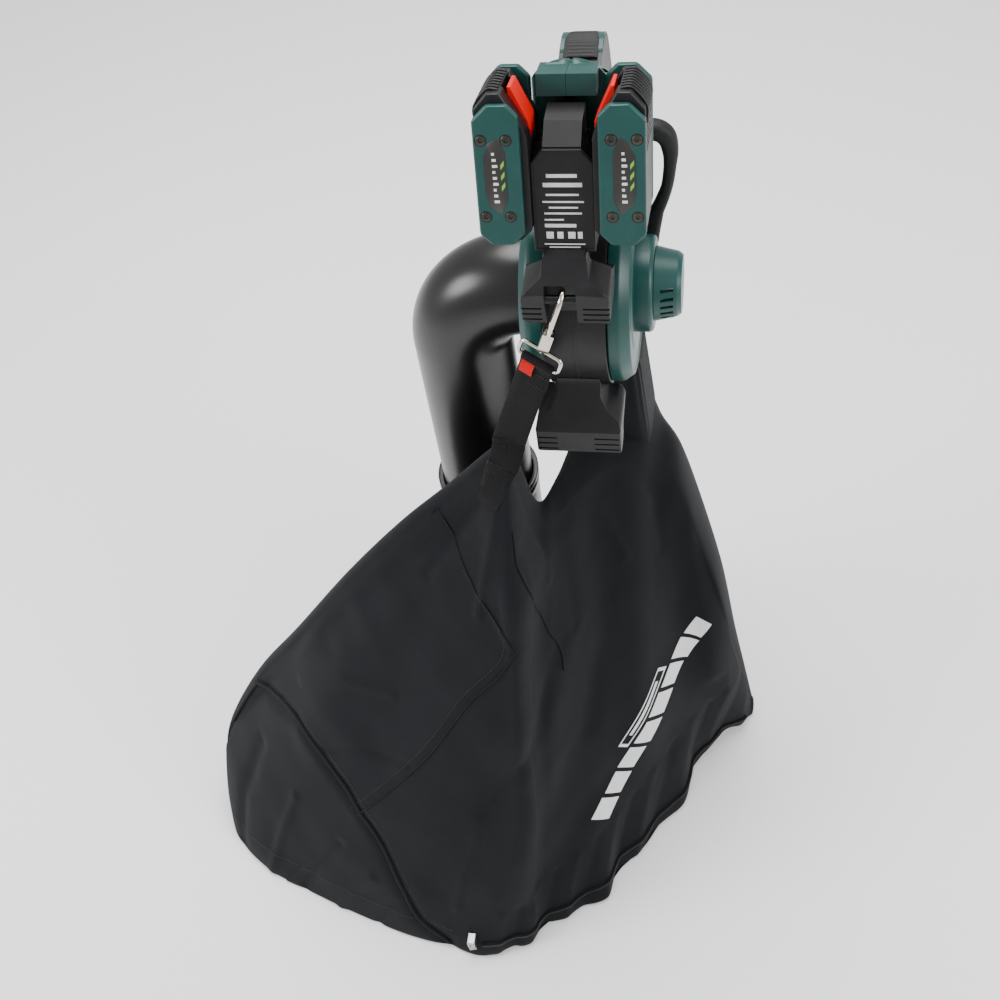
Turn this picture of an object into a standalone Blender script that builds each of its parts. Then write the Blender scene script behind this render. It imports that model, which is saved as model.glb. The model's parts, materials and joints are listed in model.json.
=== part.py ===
"""A two-battery hand-held leaf vacuum and mulcher, standing on its suction tube and its bag.

Units: every size below is in millimetres, and MM turns it into Blender's metres.
Axes: +X is the machine's right side, -Y the side of its feet and batteries, +Z up.
The machine stands nose down: its suction tube points to the floor, its batteries are on top.
Machine pieces are measured from the motor axis (along X) on the centre plane; the bag and the
lower tube are measured from the floor under that point. Two empties hold those two places.
"""

from math import cos, hypot, pi, radians, sin

import bmesh
import bpy
from mathutils import Matrix, Vector

MM = 0.001
GAP = 0.3                 # clearance left between pieces that touch

# Whole machine
MOTOR_AXIS_Z = 680.0      # height of the motor axis over the floor
CENTRE_X = -150.0         # middle of the whole object's plan, seen from under the motor
CENTRE_Y = -120.0

# Fan housing
VOLUTE_X = (-27.0, 29.0)
VOLUTE_R = 91.0
SCROLL_R = 101.0          # the scroll's radius where it runs into the outlet
DUCT_Y = (45.0, 101.0)
DUCT_END = -150.0
RIGHT_COVER_X = 50.0
INTAKE_R = 49.4
INTAKE_WALL = 2.6
COVER_LIP = 7.7          # how far the left cover's lip stands behind the elbow's end

# Suction tube
TUBE_X = -126.0
BEND_R = 70.0
SOCKET_TOP = 400.0        # top of the lower tube's collar, over the floor
LOWER_TUBE_R = 54.5

# Motor
STEP_R = 45.0
STEP_X = 66.0
CAP_R = (34.8, 30.2)
CAP_X = (66.4, 91.0)
MOTOR_R = 26.7
SHAFT_R = 4.0

# Battery packs: frame leaning back about the packs' lower screws
LEAN = radians(15.4)
PACK_ORIGIN = (0.0, -91.5, 154.4)
PACK_X = (25.5, 68.8)
PACK_DEPTH = 76.0
PACK_W = (-25.0, 100.0)
PLATE_X = (30.7, 68.4)
PLATE_T = 7.0

# Housing and handles
SHELL_HALF = 32.0
NECK_HALF = 24.5
GRIP_HALF = 19.0
CAP_HALF = 18.6
AUX_Y = 52.0

COLOURS = {
    "green": ((0.027, 0.112, 0.102), 0.42, 0.0),
    "black": ((0.026, 0.026, 0.028), 0.5, 0.0),
    "rubber": ((0.018, 0.018, 0.019), 0.8, 0.0),
    "tube": ((0.015, 0.015, 0.016), 0.28, 0.0),
    "red": ((0.8, 0.02, 0.01), 0.4, 0.0),
    "steel": ((0.55, 0.55, 0.56), 0.35, 1.0),
    "nickel": ((0.72, 0.68, 0.6), 0.25, 1.0),
    "brass": ((0.72, 0.5, 0.2), 0.35, 1.0),
    "board": ((0.02, 0.16, 0.06), 0.5, 0.0),
    "fabric": ((0.02, 0.021, 0.023), 0.9, 0.0),
    "webbing": ((0.012, 0.012, 0.013), 0.85, 0.0),
}


# ---------------------------------------------------------------- scene and helpers

def clear_scene():
    for old in list(bpy.data.objects):
        bpy.data.objects.remove(old, do_unlink=True)


def collection(name):
    made = bpy.data.collections.new(name)
    bpy.context.scene.collection.children.link(made)
    return made


def empty(name, place, parent=None, rotation=(0, 0, 0)):
    made = bpy.data.objects.new(name, None)
    made.location = Vector(place) * MM
    made.rotation_euler = rotation
    made.parent = parent
    PARTS.objects.link(made)
    return made


def finish_of(colour, name):
    rgb, roughness, metallic = COLOURS[colour]
    material = bpy.data.materials.new(name)
    material.use_nodes = True
    shader = material.node_tree.nodes["Principled BSDF"]
    shader.inputs["Base Color"].default_value = (*rgb, 1.0)
    shader.inputs["Roughness"].default_value = roughness
    shader.inputs["Metallic"].default_value = metallic
    material.diffuse_color = (*rgb, 1.0)
    return material


def add(name, mesh, colour, parent, place=(0, 0, 0), rotation=(0, 0, 0)):
    """Puts a mesh in the scene as a named part, or as a cutter where colour is None."""
    made = bpy.data.objects.new(name, mesh)
    made.location = Vector(place) * MM
    made.rotation_euler = rotation
    made.parent = parent
    if colour is None:
        CUTTERS.objects.link(made)
        made.hide_render = True
        made.display_type = "WIRE"
    else:
        PARTS.objects.link(made)
        mesh.materials.append(finish_of(colour, name))
        mesh.shade_smooth()
        mesh.set_sharp_from_angle(angle=radians(35))
    return made


def mesh_from(builder, name):
    made = bmesh.new()
    builder(made)
    bmesh.ops.recalc_face_normals(made, faces=made.faces)
    mesh = bpy.data.meshes.new(name)
    made.to_mesh(mesh)
    made.free()
    return mesh


def box(name, colour, parent, low, high, rotation=(0, 0, 0), at=(0, 0, 0)):
    """A box between two corners, turned about the point at."""
    low, high = Vector(low), Vector(high)

    def build(made):
        size = Matrix.Diagonal((*((high - low) * MM), 1.0))
        middle = Matrix.Translation((low + high) * 0.5 * MM)
        bmesh.ops.create_cube(made, size=1.0, matrix=middle @ size)

    return add(name, mesh_from(build, name), colour, parent, at, rotation)


def rod(name, colour, parent, start, end, radius, sides=24, end_radius=None):
    """A round bar, or a cone, from one point to another."""
    start, end = Vector(start), Vector(end)
    run = end - start
    turn = run.to_track_quat("Z", "Y").to_matrix().to_4x4()
    if end_radius is None:
        end_radius = radius

    def build(made):
        place = Matrix.Translation((run * 0.5) * MM) @ turn
        bmesh.ops.create_cone(made, cap_ends=True, segments=sides, radius1=radius * MM,
                              radius2=end_radius * MM, depth=run.length * MM, matrix=place)

    return add(name, mesh_from(build, name), colour, parent, start)


def turned(name, colour, parent, profile, at, rotation=(0, pi / 2, 0), sides=40):
    """A profile of (radius, height) turned about local Z, which points along +X by default.
    It is a closed ring, or starts and ends on the axis. Its outer side has to run downwards."""
    pairs = list(zip(profile, profile[1:] + profile[:1]))
    if sum(r0 * h1 - r1 * h0 for (r0, h0), (r1, h1) in pairs) > 0:
        profile = profile[::-1]
    on_axis = profile[0][0] == 0.0 and profile[-1][0] == 0.0
    points = [(radius * MM, 0.0, height * MM) for radius, height in profile]
    edges = [(i, (i + 1) % len(points)) for i in range(len(points) - on_axis)]
    mesh = bpy.data.meshes.new(name)
    mesh.from_pydata(points, edges, [])
    made = add(name, mesh, colour, parent, at, rotation)
    screw = made.modifiers.new("Turn", "SCREW")
    screw.steps = screw.render_steps = sides
    screw.use_merge_vertices = True
    screw.merge_threshold = 0.00001
    return made


def baked(made):
    """Freezes a curve or a modified object into a plain welded mesh, and drops the old object."""
    bpy.context.view_layer.update()
    graph = bpy.context.evaluated_depsgraph_get()
    mesh = bpy.data.meshes.new_from_object(made.evaluated_get(graph))
    work = bmesh.new()
    work.from_mesh(mesh)
    bmesh.ops.remove_doubles(work, verts=work.verts, dist=0.000005)
    bmesh.ops.recalc_face_normals(work, faces=work.faces)
    work.to_mesh(mesh)
    work.free()
    return mesh


SIDES = {
    "X": Matrix.Rotation(pi / 2, 4, "Z") @ Matrix.Rotation(pi / 2, 4, "X"),
    "Y": Matrix.Rotation(pi / 2, 4, "X"),
    "Z": Matrix.Identity(4),
}


def plate(name, colour, parent, outline, span, side="X", rotation=(0, 0, 0)):
    """A flat outline given thickness. side X: outline is (y, z) and span runs along X.
    side Y: outline is (x, z) and span runs along Y. side Z: outline is (x, y), span along Z."""
    curve = bpy.data.curves.new(name, "CURVE")
    curve.dimensions = "2D"
    curve.fill_mode = "BOTH"
    curve.extrude = (span[1] - span[0]) * 0.5 * MM
    line = curve.splines.new("POLY")
    line.points.add(len(outline) - 1)
    for point, (u, v) in zip(line.points, outline):
        point.co = (u * MM, v * MM, 0.0, 1.0)
    line.use_cyclic_u = True
    guide = bpy.data.objects.new(name + "_guide", curve)
    PARTS.objects.link(guide)
    mesh = baked(guide)
    bpy.data.objects.remove(guide, do_unlink=True)
    middle = (span[0] + span[1]) * 0.5
    flip = -1.0 if side == "Y" else 1.0
    mesh.transform(Matrix.Translation((0, 0, flip * middle * MM)))
    mesh.transform(SIDES[side])
    return add(name, mesh, colour, parent, (0, 0, 0), rotation)


def tube(name, colour, parent, path, radius, sides_step=6, closed=False, at=(0, 0, 0), rotation=(0, 0, 0)):
    """A round bar swept along a path of points, as a mesh."""
    curve = bpy.data.curves.new(name, "CURVE")
    curve.dimensions = "3D"
    curve.bevel_depth = radius * MM
    curve.bevel_resolution = sides_step
    curve.use_fill_caps = not closed
    line = curve.splines.new("POLY")
    line.points.add(len(path) - 1)
    for point, place in zip(line.points, path):
        point.co = (*(Vector(place) * MM), 1.0)
    line.use_cyclic_u = closed
    guide = bpy.data.objects.new(name + "_guide", curve)
    PARTS.objects.link(guide)
    mesh = baked(guide)
    bpy.data.objects.remove(guide, do_unlink=True)
    return add(name, mesh, colour, parent, at, rotation)


def boolean(made, other, operation):
    step = made.modifiers.new(other.name, "BOOLEAN")
    step.operation = operation
    step.object = other
    step.solver = "EXACT"
    return made


def cut(made, *others):
    for other in others:
        boolean(made, other, "DIFFERENCE")
    return made


def join(made, *others):
    for other in others:
        boolean(made, other, "UNION")
    return made


def rounded(made, width, segments=2, angle=40):
    bevel = made.modifiers.new("Rounded edges", "BEVEL")
    bevel.width = width * MM
    bevel.segments = segments
    bevel.limit_method = "ANGLE"
    bevel.angle_limit = radians(angle)
    return made


def arc(centre, radius, start, end, steps):
    """Points on a circle from one angle to another, in degrees."""
    angles = [radians(start + (end - start) * i / steps) for i in range(steps + 1)]
    return [(centre[0] + radius * cos(a), centre[1] + radius * sin(a)) for a in angles]


def chamfered(low, high, chamfer):
    """A rectangle outline with cut corners, given per corner from the lower left, anticlockwise."""
    (x0, y0), (x1, y1) = low, high
    a, b, c, d = chamfer if isinstance(chamfer, (tuple, list)) else (chamfer,) * 4
    points = [(x0, y0 + a), (x0 + a, y0), (x1 - b, y0), (x1, y0 + b),
              (x1, y1 - c), (x1 - c, y1), (x0 + d, y1), (x0, y1 - d)]
    kept = []
    for point in points:
        if not kept or hypot(point[0] - kept[-1][0], point[1] - kept[-1][1]) > 0.01:
            kept.append(point)
    return kept


def smooth(points, steps):
    """A Catmull-Rom curve through a list of points."""
    points = [Vector(p) for p in points]
    ends = [points[0] * 2 - points[1], *points, points[-1] * 2 - points[-2]]
    path = []
    for a, b, c, d in zip(ends, ends[1:], ends[2:], ends[3:]):
        for i in range(steps):
            t = i / steps
            path.append(0.5 * (2 * b + (c - a) * t + (2 * a - 5 * b + 4 * c - d) * t * t
                               + (3 * b - a - 3 * c + d) * t ** 3))
    return [*path, points[-1]]


clear_scene()
PARTS = collection("leaf_vacuum_mulcher")
CUTTERS = collection("cutters")
FLOOR = empty("under_motor", (-CENTRE_X, -CENTRE_Y, 0.0))
MOTOR = empty("motor_axis", (0.0, 0.0, MOTOR_AXIS_Z), FLOOR)
PACKS = empty("pack_frame", PACK_ORIGIN, MOTOR, (-LEAN, 0, 0))


# ---------------------------------------------------------------- fan housing

def scroll(offset, start=-62.0):
    """The fan scroll in (y, z): a circle that swells clockwise until it runs into the outlet duct."""
    steps, sweep = 40, 360.0 + start
    points = []
    for i in range(steps + 1):
        share = i / steps
        angle = radians(start - sweep * share)
        radius = VOLUTE_R + (SCROLL_R - VOLUTE_R) * share + offset
        points.append((radius * cos(angle), radius * sin(angle)))
    return points


def scroll_seat(name, half_width=60.0):
    """A cutter that leaves a piece resting on the scroll with the usual gap."""
    return plate(name, None, MOTOR, scroll(2 * GAP), (-half_width, half_width))


def fan_housing():
    wall = 3.5
    outline = scroll(0.0) + [(DUCT_Y[1], DUCT_END), (DUCT_Y[0], DUCT_END), (DUCT_Y[0], DUCT_END + 34)]
    band = rounded(plate("volute_band", "black", MOTOR, outline, VOLUTE_X), 2.0, 2, 60)
    hollow = scroll(-wall, -58.0)
    hollow += [(DUCT_Y[1] - wall, DUCT_END - 20), (DUCT_Y[0] + wall, DUCT_END - 20)]
    inside = (VOLUTE_X[0] + wall, VOLUTE_X[1] - wall)
    cut(band, plate("volute_cavity", None, MOTOR, hollow, inside))
    cut(band, rod("volute_intake", None, MOTOR, (VOLUTE_X[0] - 5, 0, 0), (0, 0, 0), 42.0, 40))
    cut(band, rod("volute_motor_side", None, MOTOR, (0, 0, 0), (VOLUTE_X[1] + 5, 0, 0), 30.0, 40))

    left = turned("left_cover", "green", MOTOR, [
        (VOLUTE_R - 7, -22.7), (VOLUTE_R - 1, -16), (VOLUTE_R, -GAP), (45.0, -GAP),
        (45.0, -COVER_LIP), (INTAKE_R + GAP, -COVER_LIP), (INTAKE_R + GAP, -22.7)], (VOLUTE_X[0], 0, 0))
    right = turned("right_cover", "green", MOTOR, [
        (30.0, 20.5), (VOLUTE_R - 8, 20.5), (VOLUTE_R, 11.0), (VOLUTE_R, GAP), (30.0, GAP)],
        (VOLUTE_X[1], 0, 0))
    join(right, turned("motor_step", None, MOTOR, [
        (MOTOR_R + GAP, 37.0), (STEP_R - 2, 37.0), (STEP_R, 34.0), (STEP_R, 15.0), (MOTOR_R + GAP, 15.0)],
        (VOLUTE_X[1], 0, 0)))
    return band, left, right


def motor_pieces():
    slots, slot_pitch, cap_wall = 5, 8.0, 3.0
    cap = turned("motor_cap", "green", MOTOR, [
        (0.0, CAP_X[1]), (CAP_R[1] - 3, CAP_X[1]), (CAP_R[1], CAP_X[1] - 4), (CAP_R[0], CAP_X[0]),
        (CAP_R[0] - cap_wall, CAP_X[0]), (CAP_R[1] - cap_wall - 0.4, CAP_X[1] - 5), (0.0, CAP_X[1] - cap_wall)],
        (0, 0, 0))
    for i in range(slots):
        z = slot_pitch * (i - (slots - 1) / 2)
        cut(cap, box("cap_slot_%d" % i, None, MOTOR, (CAP_X[0] + 6, -45, z - 1.6), (CAP_X[1] - 7, -12, z + 1.6)))
    turned("motor_can", "steel", MOTOR, [
        (MOTOR_R, 84.0), (MOTOR_R, 36.0), (12.0, 36.0), (12.0, 40.0), (MOTOR_R - 2, 40.0),
        (MOTOR_R - 2, 80.0), (12.0, 80.0), (12.0, 84.0)], (0, 0, 0), sides=40)
    for name, x in (("front_bearing", 36.5), ("rear_bearing", 80.2)):
        turned(name, "steel", MOTOR, [
            (11.7, 3.3), (11.7, 0.2), (SHAFT_R + GAP, 0.2), (SHAFT_R + GAP, 3.3)], (x, 0, 0), sides=32)
    turned("rotor", "steel", MOTOR, [
        (0.0, 83.8), (SHAFT_R, 83.8), (SHAFT_R, 74.0), (19.0, 74.0), (19.0, 46.0), (SHAFT_R, 46.0),
        (SHAFT_R, 8.3), (0.0, 8.3)], (0, 0, 0), sides=32)


def fan_wheel():
    """The suction fan: a back disc with curved blades, and a hub on the motor shaft."""
    blades, disc_r = 8, 76.0
    wheel = turned("fan_wheel", "black", MOTOR, [
        (disc_r, 19.0), (disc_r, 16.0), (12.0, 16.0), (12.0, -6.0), (SHAFT_R + 0.4, -6.0),
        (SHAFT_R + 0.4, 23.0), (14.0, 23.0), (18.0, 19.0)], (0, 0, 0))
    root = [(16 + (disc_r - 18) * t, 14 * sin(1.4 * t)) for t in (0.0, 0.25, 0.5, 0.75, 1.0)]
    outline = root + [(u + 0.4, v + 2.4) for u, v in reversed(root)]
    for i in range(blades):
        turn = (2 * pi * i / blades, 0, 0)
        join(wheel, plate("fan_blade_%d" % i, None, MOTOR, outline, (-14.0, 17.0), rotation=turn))
    return wheel


def mulching_blade():
    """The shredder: a flat steel bar with sharpened ends, bolted on the fan's nose."""
    outline = [(-38, -7), (-30, -9), (30, -6), (38, -2), (38, 7), (30, 9), (-30, 6), (-38, 2)]
    blade = plate("mulching_blade", "steel", MOTOR, outline, (-20.0, -17.0))
    cut(blade, rod("blade_bore", None, MOTOR, (-25, 0, 0), (-10, 0, 0), 4.3, 20))
    turned("blade_nut", "steel", MOTOR, [
        (0.0, 8.0), (SHAFT_R - 0.1, 8.0), (SHAFT_R - 0.1, -20.4), (8.0, -20.4), (8.0, -25.0), (0.0, -25.0)],
        (0, 0, 0), sides=6)


# ---------------------------------------------------------------- suction tube

def intake_elbow():
    """From the fan's left side out along -X, round one wide bend, and down inside the lower tube."""
    turn_x = TUBE_X + BEND_R
    start, end = VOLUTE_X[0] - COVER_LIP - GAP, -325.0
    centre = [(start, 0.0)] + arc((turn_x, -BEND_R), BEND_R, 90, 180, 11) + [(TUBE_X, end)]
    path = [(x, 0.0, z) for x, z in centre]
    elbow = tube("intake_elbow", "tube", MOTOR, path, INTAKE_R, 11)
    inside = [(start + 5, 0.0, 0.0), *path[1:-1], (TUBE_X, 0.0, end - 5)]
    return cut(elbow, tube("elbow_bore", None, MOTOR, inside, INTAKE_R - INTAKE_WALL, 11))


def lower_tube():
    bore, wall, top = INTAKE_R + 0.6, 2.6, SOCKET_TOP
    pipe = turned("lower_tube", "tube", FLOOR, [
        (bore, top), (bore + 6.2, top), (bore + 6.2, top - 14), (LOWER_TUBE_R + 0.6, top - 20),
        (LOWER_TUBE_R, top - 60), (LOWER_TUBE_R, 26.0), (LOWER_TUBE_R + 2.2, 22.0), (LOWER_TUBE_R + 2.2, 0.0),
        (LOWER_TUBE_R - wall, 0.0), (LOWER_TUBE_R - wall, top - 85), (bore, top - 82)],
        (TUBE_X, 0, 0), rotation=(0, 0, 0))
    middle, half_w, half_h = top - 40, 8.0, 11.0
    cut(pipe, box("button_window", None, FLOOR, (TUBE_X - half_w - 0.4, -70, middle - half_h - 0.4),
                  (TUBE_X + half_w + 0.4, -40, middle + half_h + 0.4)))
    lock = box("tube_lock_button", "black", FLOOR, (TUBE_X - half_w, -LOWER_TUBE_R - 2.4, middle - half_h),
               (TUBE_X + half_w, -INTAKE_R - 2.2, middle + half_h))
    rounded(lock, 1.5)
    return pipe, lock


# ---------------------------------------------------------------- housing shells and column

SHELL_OUTLINE = [(-26.5, 95), (9.0, 226), (16, 230), (36, 216.5), (54, 203), (62, 190), (62, 95), (40, 70),
                 (-10, 70)]
SHELL_HOLLOW = [(-17, 108), (11, 214), (18, 218), (50, 196), (54, 186), (54, 108)]
CROWN_SLOPE = radians(35.2)


def housing_half(side, name):
    """One moulded half of the rear housing, a cup open at the centre seam."""
    inner, outer = side * 0.15, side * SHELL_HALF
    half = plate(name, "green", MOTOR, SHELL_OUTLINE, sorted((inner, outer)))
    rounded(half, 5.0, 3, 50)
    crown = [(-40, 0), (40, 0), (40, 175)] + arc((0, 157.3), 40.0, 27, 153, 12) + [(-40, 175)]
    dome = plate(name + "_crown", None, MOTOR, crown, (-200, 200), "Y", (-CROWN_SLOPE, 0, 0))
    boolean(half, dome, "INTERSECT")
    join(half, box(name + "_dome", None, PACKS, *ordered((inner, 57.0, 79.0), (side * NECK_HALF, 86.0, 97.0))))
    cavity = sorted((-side, side * (SHELL_HALF - 3.5)))
    cut(half, plate(name + "_hollow", None, MOTOR, SHELL_HOLLOW, cavity))
    return cut(half, scroll_seat(name + "_seat"))


COLUMN_SIDE = [(17.5, 52.0), (17.5, -41.5), (30.0, -60.0), (76.2, -60.0), (76.2, 40), (56.5, 40), (56.5, 74.0),
               (33.0, 68.0)]


def battery_column():
    """The black rail tower between the packs, and the cover panel on its front."""
    column = plate("battery_column", "black", PACKS, COLUMN_SIDE, (-15.5, 15.5))
    rails = [(24, -38), (24, 46), (36, 52), (56, 52), (56, -38)]
    join(column, plate("column_sides", None, PACKS, rails, (-NECK_HALF, NECK_HALF)))
    for side, label in ((-1, "left"), (1, "right")):
        cut(column, box(label + "_rail_slot", None, PACKS,
                        *ordered((side * 19.5, 33.0, -30.0), (side * 30.0, 47.0, 60.0))))
    hollow = [(22, -36), (22, 44), (52, 44), (52, -70), (36, -70)]
    cut(column, plate("column_hollow", None, PACKS, hollow, (-12.0, 12.0)))
    cut(column, scroll_seat("column_seat"))
    outline = [(-25.5, -37), (25.5, -37), (25.5, 40), (16, 51), (-16, 51), (-25.5, 40)]
    return column, rounded(plate("column_cover", "black", PACKS, outline, (13.2, 17.2), side="Y"), 0.8)


def ordered(a, b):
    return tuple(map(min, a, b)), tuple(map(max, a, b))


def terminal_block(side, name):
    """Contact block in the rail slot: an insulating block whose tongues reach into the pack."""
    block = box(name, "brass", PACKS, *ordered((side * 19.8, 34.0, -29.6), (side * 25.2, 46.0, -14.0)))
    for i, v in enumerate((36.5, 41.5)):
        join(block, box("%s_tongue_%d" % (name, i), None, PACKS,
                        *ordered((side * 23.5, v, -26.0), (side * 27.5, v + 2.0, 6.0))))
    return block


def controller_board():
    box("controller_board", "board", MOTOR, (-1.0, 8.0, 116.0), (0.8, 46.0, 182.0))


def battery_pack(side, label):
    """A slide-on pack: black case with ribbed corner, two green end plates, and its red latch."""
    front, back = 0.0, PACK_DEPTH
    low_x, high_x = PACK_X
    w0, w1 = PACK_W
    outline = [(low_x, w0 + 10), (low_x + 9, w0 + 1), (high_x - 8, w0 + 1), (high_x - 1, w0 + 8),
               (high_x - 1, w1 - 14), (high_x - 12, w1 - 1), (low_x + 20, w1 - 1), (low_x + 3, w1 - 29),
               (low_x, w1 - 37)]
    outline = [(side * x, w) for x, w in outline]
    case = plate("battery_%s_case" % label, "black", PACKS, outline,
                 (front + PLATE_T + GAP, back - PLATE_T - GAP), side="Y")
    rounded(case, 1.6, 2, 30)
    rib_count, pitch = 7, 5.6
    for i in range(rib_count):
        w = w1 - 15 - pitch * i
        cut(case, box("rib_gap_%s_%d" % (label, i), None, PACKS,
                      *ordered((side * (high_x - 3.6), 12.5, w - 2.6), (side * (high_x + 4), 63.5, w))))
    well = ordered((side * (low_x - 2), 24.2, w1 - 45.3), (side * (low_x + 21.4), 51.8, w1 + 4))
    cut(case, box("latch_well_%s" % label, None, PACKS, *well))
    slot = ordered((side * (low_x - 3), 35.0, w0 - 2), (side * (low_x + 4), 45.0, 12.0))
    cut(case, box("contact_slot_%s" % label, None, PACKS, *slot))
    for end, v, top in (("front", front, w1 - 8), ("back", back - PLATE_T, w1)):
        lip = chamfered((PLATE_X[0], w0), (PLATE_X[1], top), (9, 9, 12, 9))
        lip = [(side * x, w) for x, w in lip]
        face = plate("battery_%s_%s_plate" % (label, end), "green", PACKS, lip, (v, v + PLATE_T), side="Y")
        rounded(face, 2.2, 2, 30)
    lever = [(low_x + 0.5, w1 - 44), (low_x + 16, w1 - 44), (low_x + 17, w1 - 1.5), (low_x + 14, w1 - 1.5),
             (low_x + 0.5, w1 - 30)]
    lever = [(side * x, w) for x, w in lever]
    rounded(plate("battery_%s_latch" % label, "red", PACKS, lever, (24.6, 51.4), side="Y"), 0.8, 2, 30)


# ---------------------------------------------------------------- main handle

HANDLE_OUTER = [(62.4, 184), (84, 190), (100, 192), (118, 185), (131, 169), (141, 140), (153, 90), (163, 30),
                (163, -6), (150, -48), (124, -84), (101.5, -96)]
HANDLE_INNER = [(101.5, -44), (120, -28), (131, -4), (132, 25), (124, 70), (113, 115), (103, 137), (88, 147),
                (62.4, 150)]
PIVOT = (0, 136, 70)
DIAL = (GRIP_HALF, 133, 95)


def flat(points):
    return [(p[0], p[1]) for p in points]


def main_handle():
    outer = flat(smooth([(*p, 0) for p in HANDLE_OUTER], 3))
    inner = flat(smooth([(*p, 0) for p in HANDLE_INNER], 3))
    frame = plate("main_handle", "black", MOTOR, outer + inner, (-GRIP_HALF, GRIP_HALF))
    rounded(frame, 7.0, 3, 50)
    cut(frame, box("trigger_slot", None, MOTOR, (-6.4, 105, 14), (6.4, 144, 80)))
    cut(frame, box("switch_slot", None, MOTOR, (-6.4, 140, 22), (6.4, 151.5, 52)))
    _, y, z = PIVOT
    cut(frame, rod("handle_pin_bore", None, MOTOR, (-25, y, z), (25, y, z), 2.3, 16))
    _, y, z = DIAL
    cut(frame, rod("dial_bore", None, MOTOR, (12, y, z), (25, y, z), 3.3, 20))

    ridge = flat(smooth([(*p, 0) for p in HANDLE_OUTER[1:8]], 3))
    skin = [(y + 1.8, z + 1.8) for y, z in ridge] + [(y - 5.0, z - 3.0) for y, z in reversed(ridge)]
    cover = plate("handle_cap", "green", MOTOR, skin, (-CAP_HALF, CAP_HALF))
    outer_clear = [(y + GAP + 0.2, z + GAP) for y, z in outer[1:-1]]
    hidden = [(outer[0][0], outer[0][1] + GAP), *outer_clear, outer[-1], (70, -96), (62.4, 100)]
    clearance = plate("cap_clearance", None, MOTOR, hidden, (-GRIP_HALF - GAP, GRIP_HALF + GAP))
    cut(cover, rounded(clearance, 6.6, 3, 50))
    return frame, cover


def trigger_pieces():
    pivot = empty("trigger_pivot", PIVOT, MOTOR)
    outline = [(3.5, 4), (4, -4), (-3, -12), (-3, -44), (-8, -47), (-20, -40), (-22, -30), (-15, -18), (-12, 2),
               (-4, 5)]
    trigger = rounded(plate("trigger", "red", pivot, outline, (-5.8, 5.8)), 1.2)
    cut(trigger, rod("trigger_bore", None, pivot, (-10, 0, 0), (10, 0, 0), 2.06, 16))
    _, y, z = PIVOT
    rod("trigger_pin", "steel", MOTOR, (-16.0, y, z), (16.0, y, z), 2.0, 16)
    box("switch_module", "black", MOTOR, (-6.0, 143.4, 23), (6.0, 151.0, 51))
    return trigger, turned("speed_dial", "rubber", MOTOR, [
        (0.0, 5.4), (11.0, 5.4), (12.0, 4.6), (12.0, 1.0), (11.4, 0.5), (3.0, 0.5), (3.0, -4.0), (0.0, -4.0)],
        DIAL, sides=30)


# ---------------------------------------------------------------- auxiliary handle

def auxiliary_handle():
    """The side handle: a round grip, a flat leg, and a web that widens down to the motor side."""
    path = [(SHELL_HALF + GAP, 133), (48, 133), (58, 133.5), (68, 132), (75, 124), (76, 112)]
    centre = [(path[0][0], AUX_Y, path[0][1]), *smooth([(x, AUX_Y, z) for x, z in path[1:]], 4)]
    grip = tube("auxiliary_handle", "rubber", MOTOR, centre, 9.0, 5)
    foot_x = RIGHT_COVER_X + 2 * GAP
    web = [(68.5, 122), (83.5, 121), (83.5, 100), (79, 66), (68, 36), (57, 9), (foot_x, -4),
           (foot_x, 34), (59, 46), (69, 70), (72.5, 96)]
    return join(grip, plate("handle_web", None, MOTOR, web, (AUX_Y - 6, AUX_Y + 6), side="Y"))


# ---------------------------------------------------------------- feet

def ribbed(foot, place, low, high):
    """Three shallow grooves across each half of a foot's lower face."""
    count = 3
    pitch = (high - low) / count
    for i in range(count):
        z = low + pitch * (i + 0.5)
        for side, (near, far) in (("left", (-38, -20)), ("right", (15, 38))):
            cut(foot, box("%s_%s_rib_%d" % (foot.name, side, i), None, MOTOR,
                          (near, place - 6, z - 0.9), (far, place + 1.4, z + 0.9)))
    return foot


def front_foot():
    """A flared shoe under the outlet end of the fan housing."""
    right = [(20, -30), (20, -57), (26, -66), (38, -74), (40, -80), (40, -109)]
    face = right + [(-x, z) for x, z in reversed(right)]
    foot = rounded(plate("front_foot", "black", MOTOR, face, (-116.0, -60.0), side="Y"), 2.0)
    slope = [(-130, -96), (-130, -20), (-84, -20), (-86, -50)]
    cut(foot, plate("front_foot_slope", None, MOTOR, slope, (-50, 50)))
    under = [(-100, -115), (-50, -115), (-50, -80), (-90, -92)]
    cut(foot, plate("front_foot_under", None, MOTOR, under, (-50, 50)))
    cut(foot, scroll_seat("front_foot_seat"))
    return ribbed(foot, -116.0, -108.0, -86.0)


def rear_foot():
    """A T-shaped shoe with an open middle, crossed by a bar that the bag's hook clips on."""
    right = [(35, 61), (37.5, 64), (38, 86), (36, 92), (20, 103), (18, 118)]
    face = right + [(-x, z) for x, z in reversed(right)]
    foot = rounded(plate("rear_foot", "black", MOTOR, face, (-118.0, -70.0), side="Y"), 1.6)
    slope = [(-130, 81), (-130, 124), (-94, 124), (-99, 112)]
    cut(foot, plate("rear_foot_slope", None, MOTOR, slope, (-50, 50)))
    cut(foot, box("hook_window", None, MOTOR, (-17, -125, 50), (10, -101.5, 98.5)))
    y, z = BAR
    join(foot, rod("hook_bar", None, MOTOR, (-21, y, z), (14, y, z), 4.0, 16))
    cut(foot, scroll_seat("rear_foot_seat"))
    step = [(12.9, 60), (12.9, -37.4), (17.2, -37.4), (17.2, -41.7), (29.8, -60.4), (90, -60.4), (90, 60)]
    cut(foot, plate("rear_foot_top_seat", None, PACKS, step, (-60, 60)))
    return ribbed(foot, -118.0, 63.0, 81.0)


# ---------------------------------------------------------------- strap and snap hook

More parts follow.
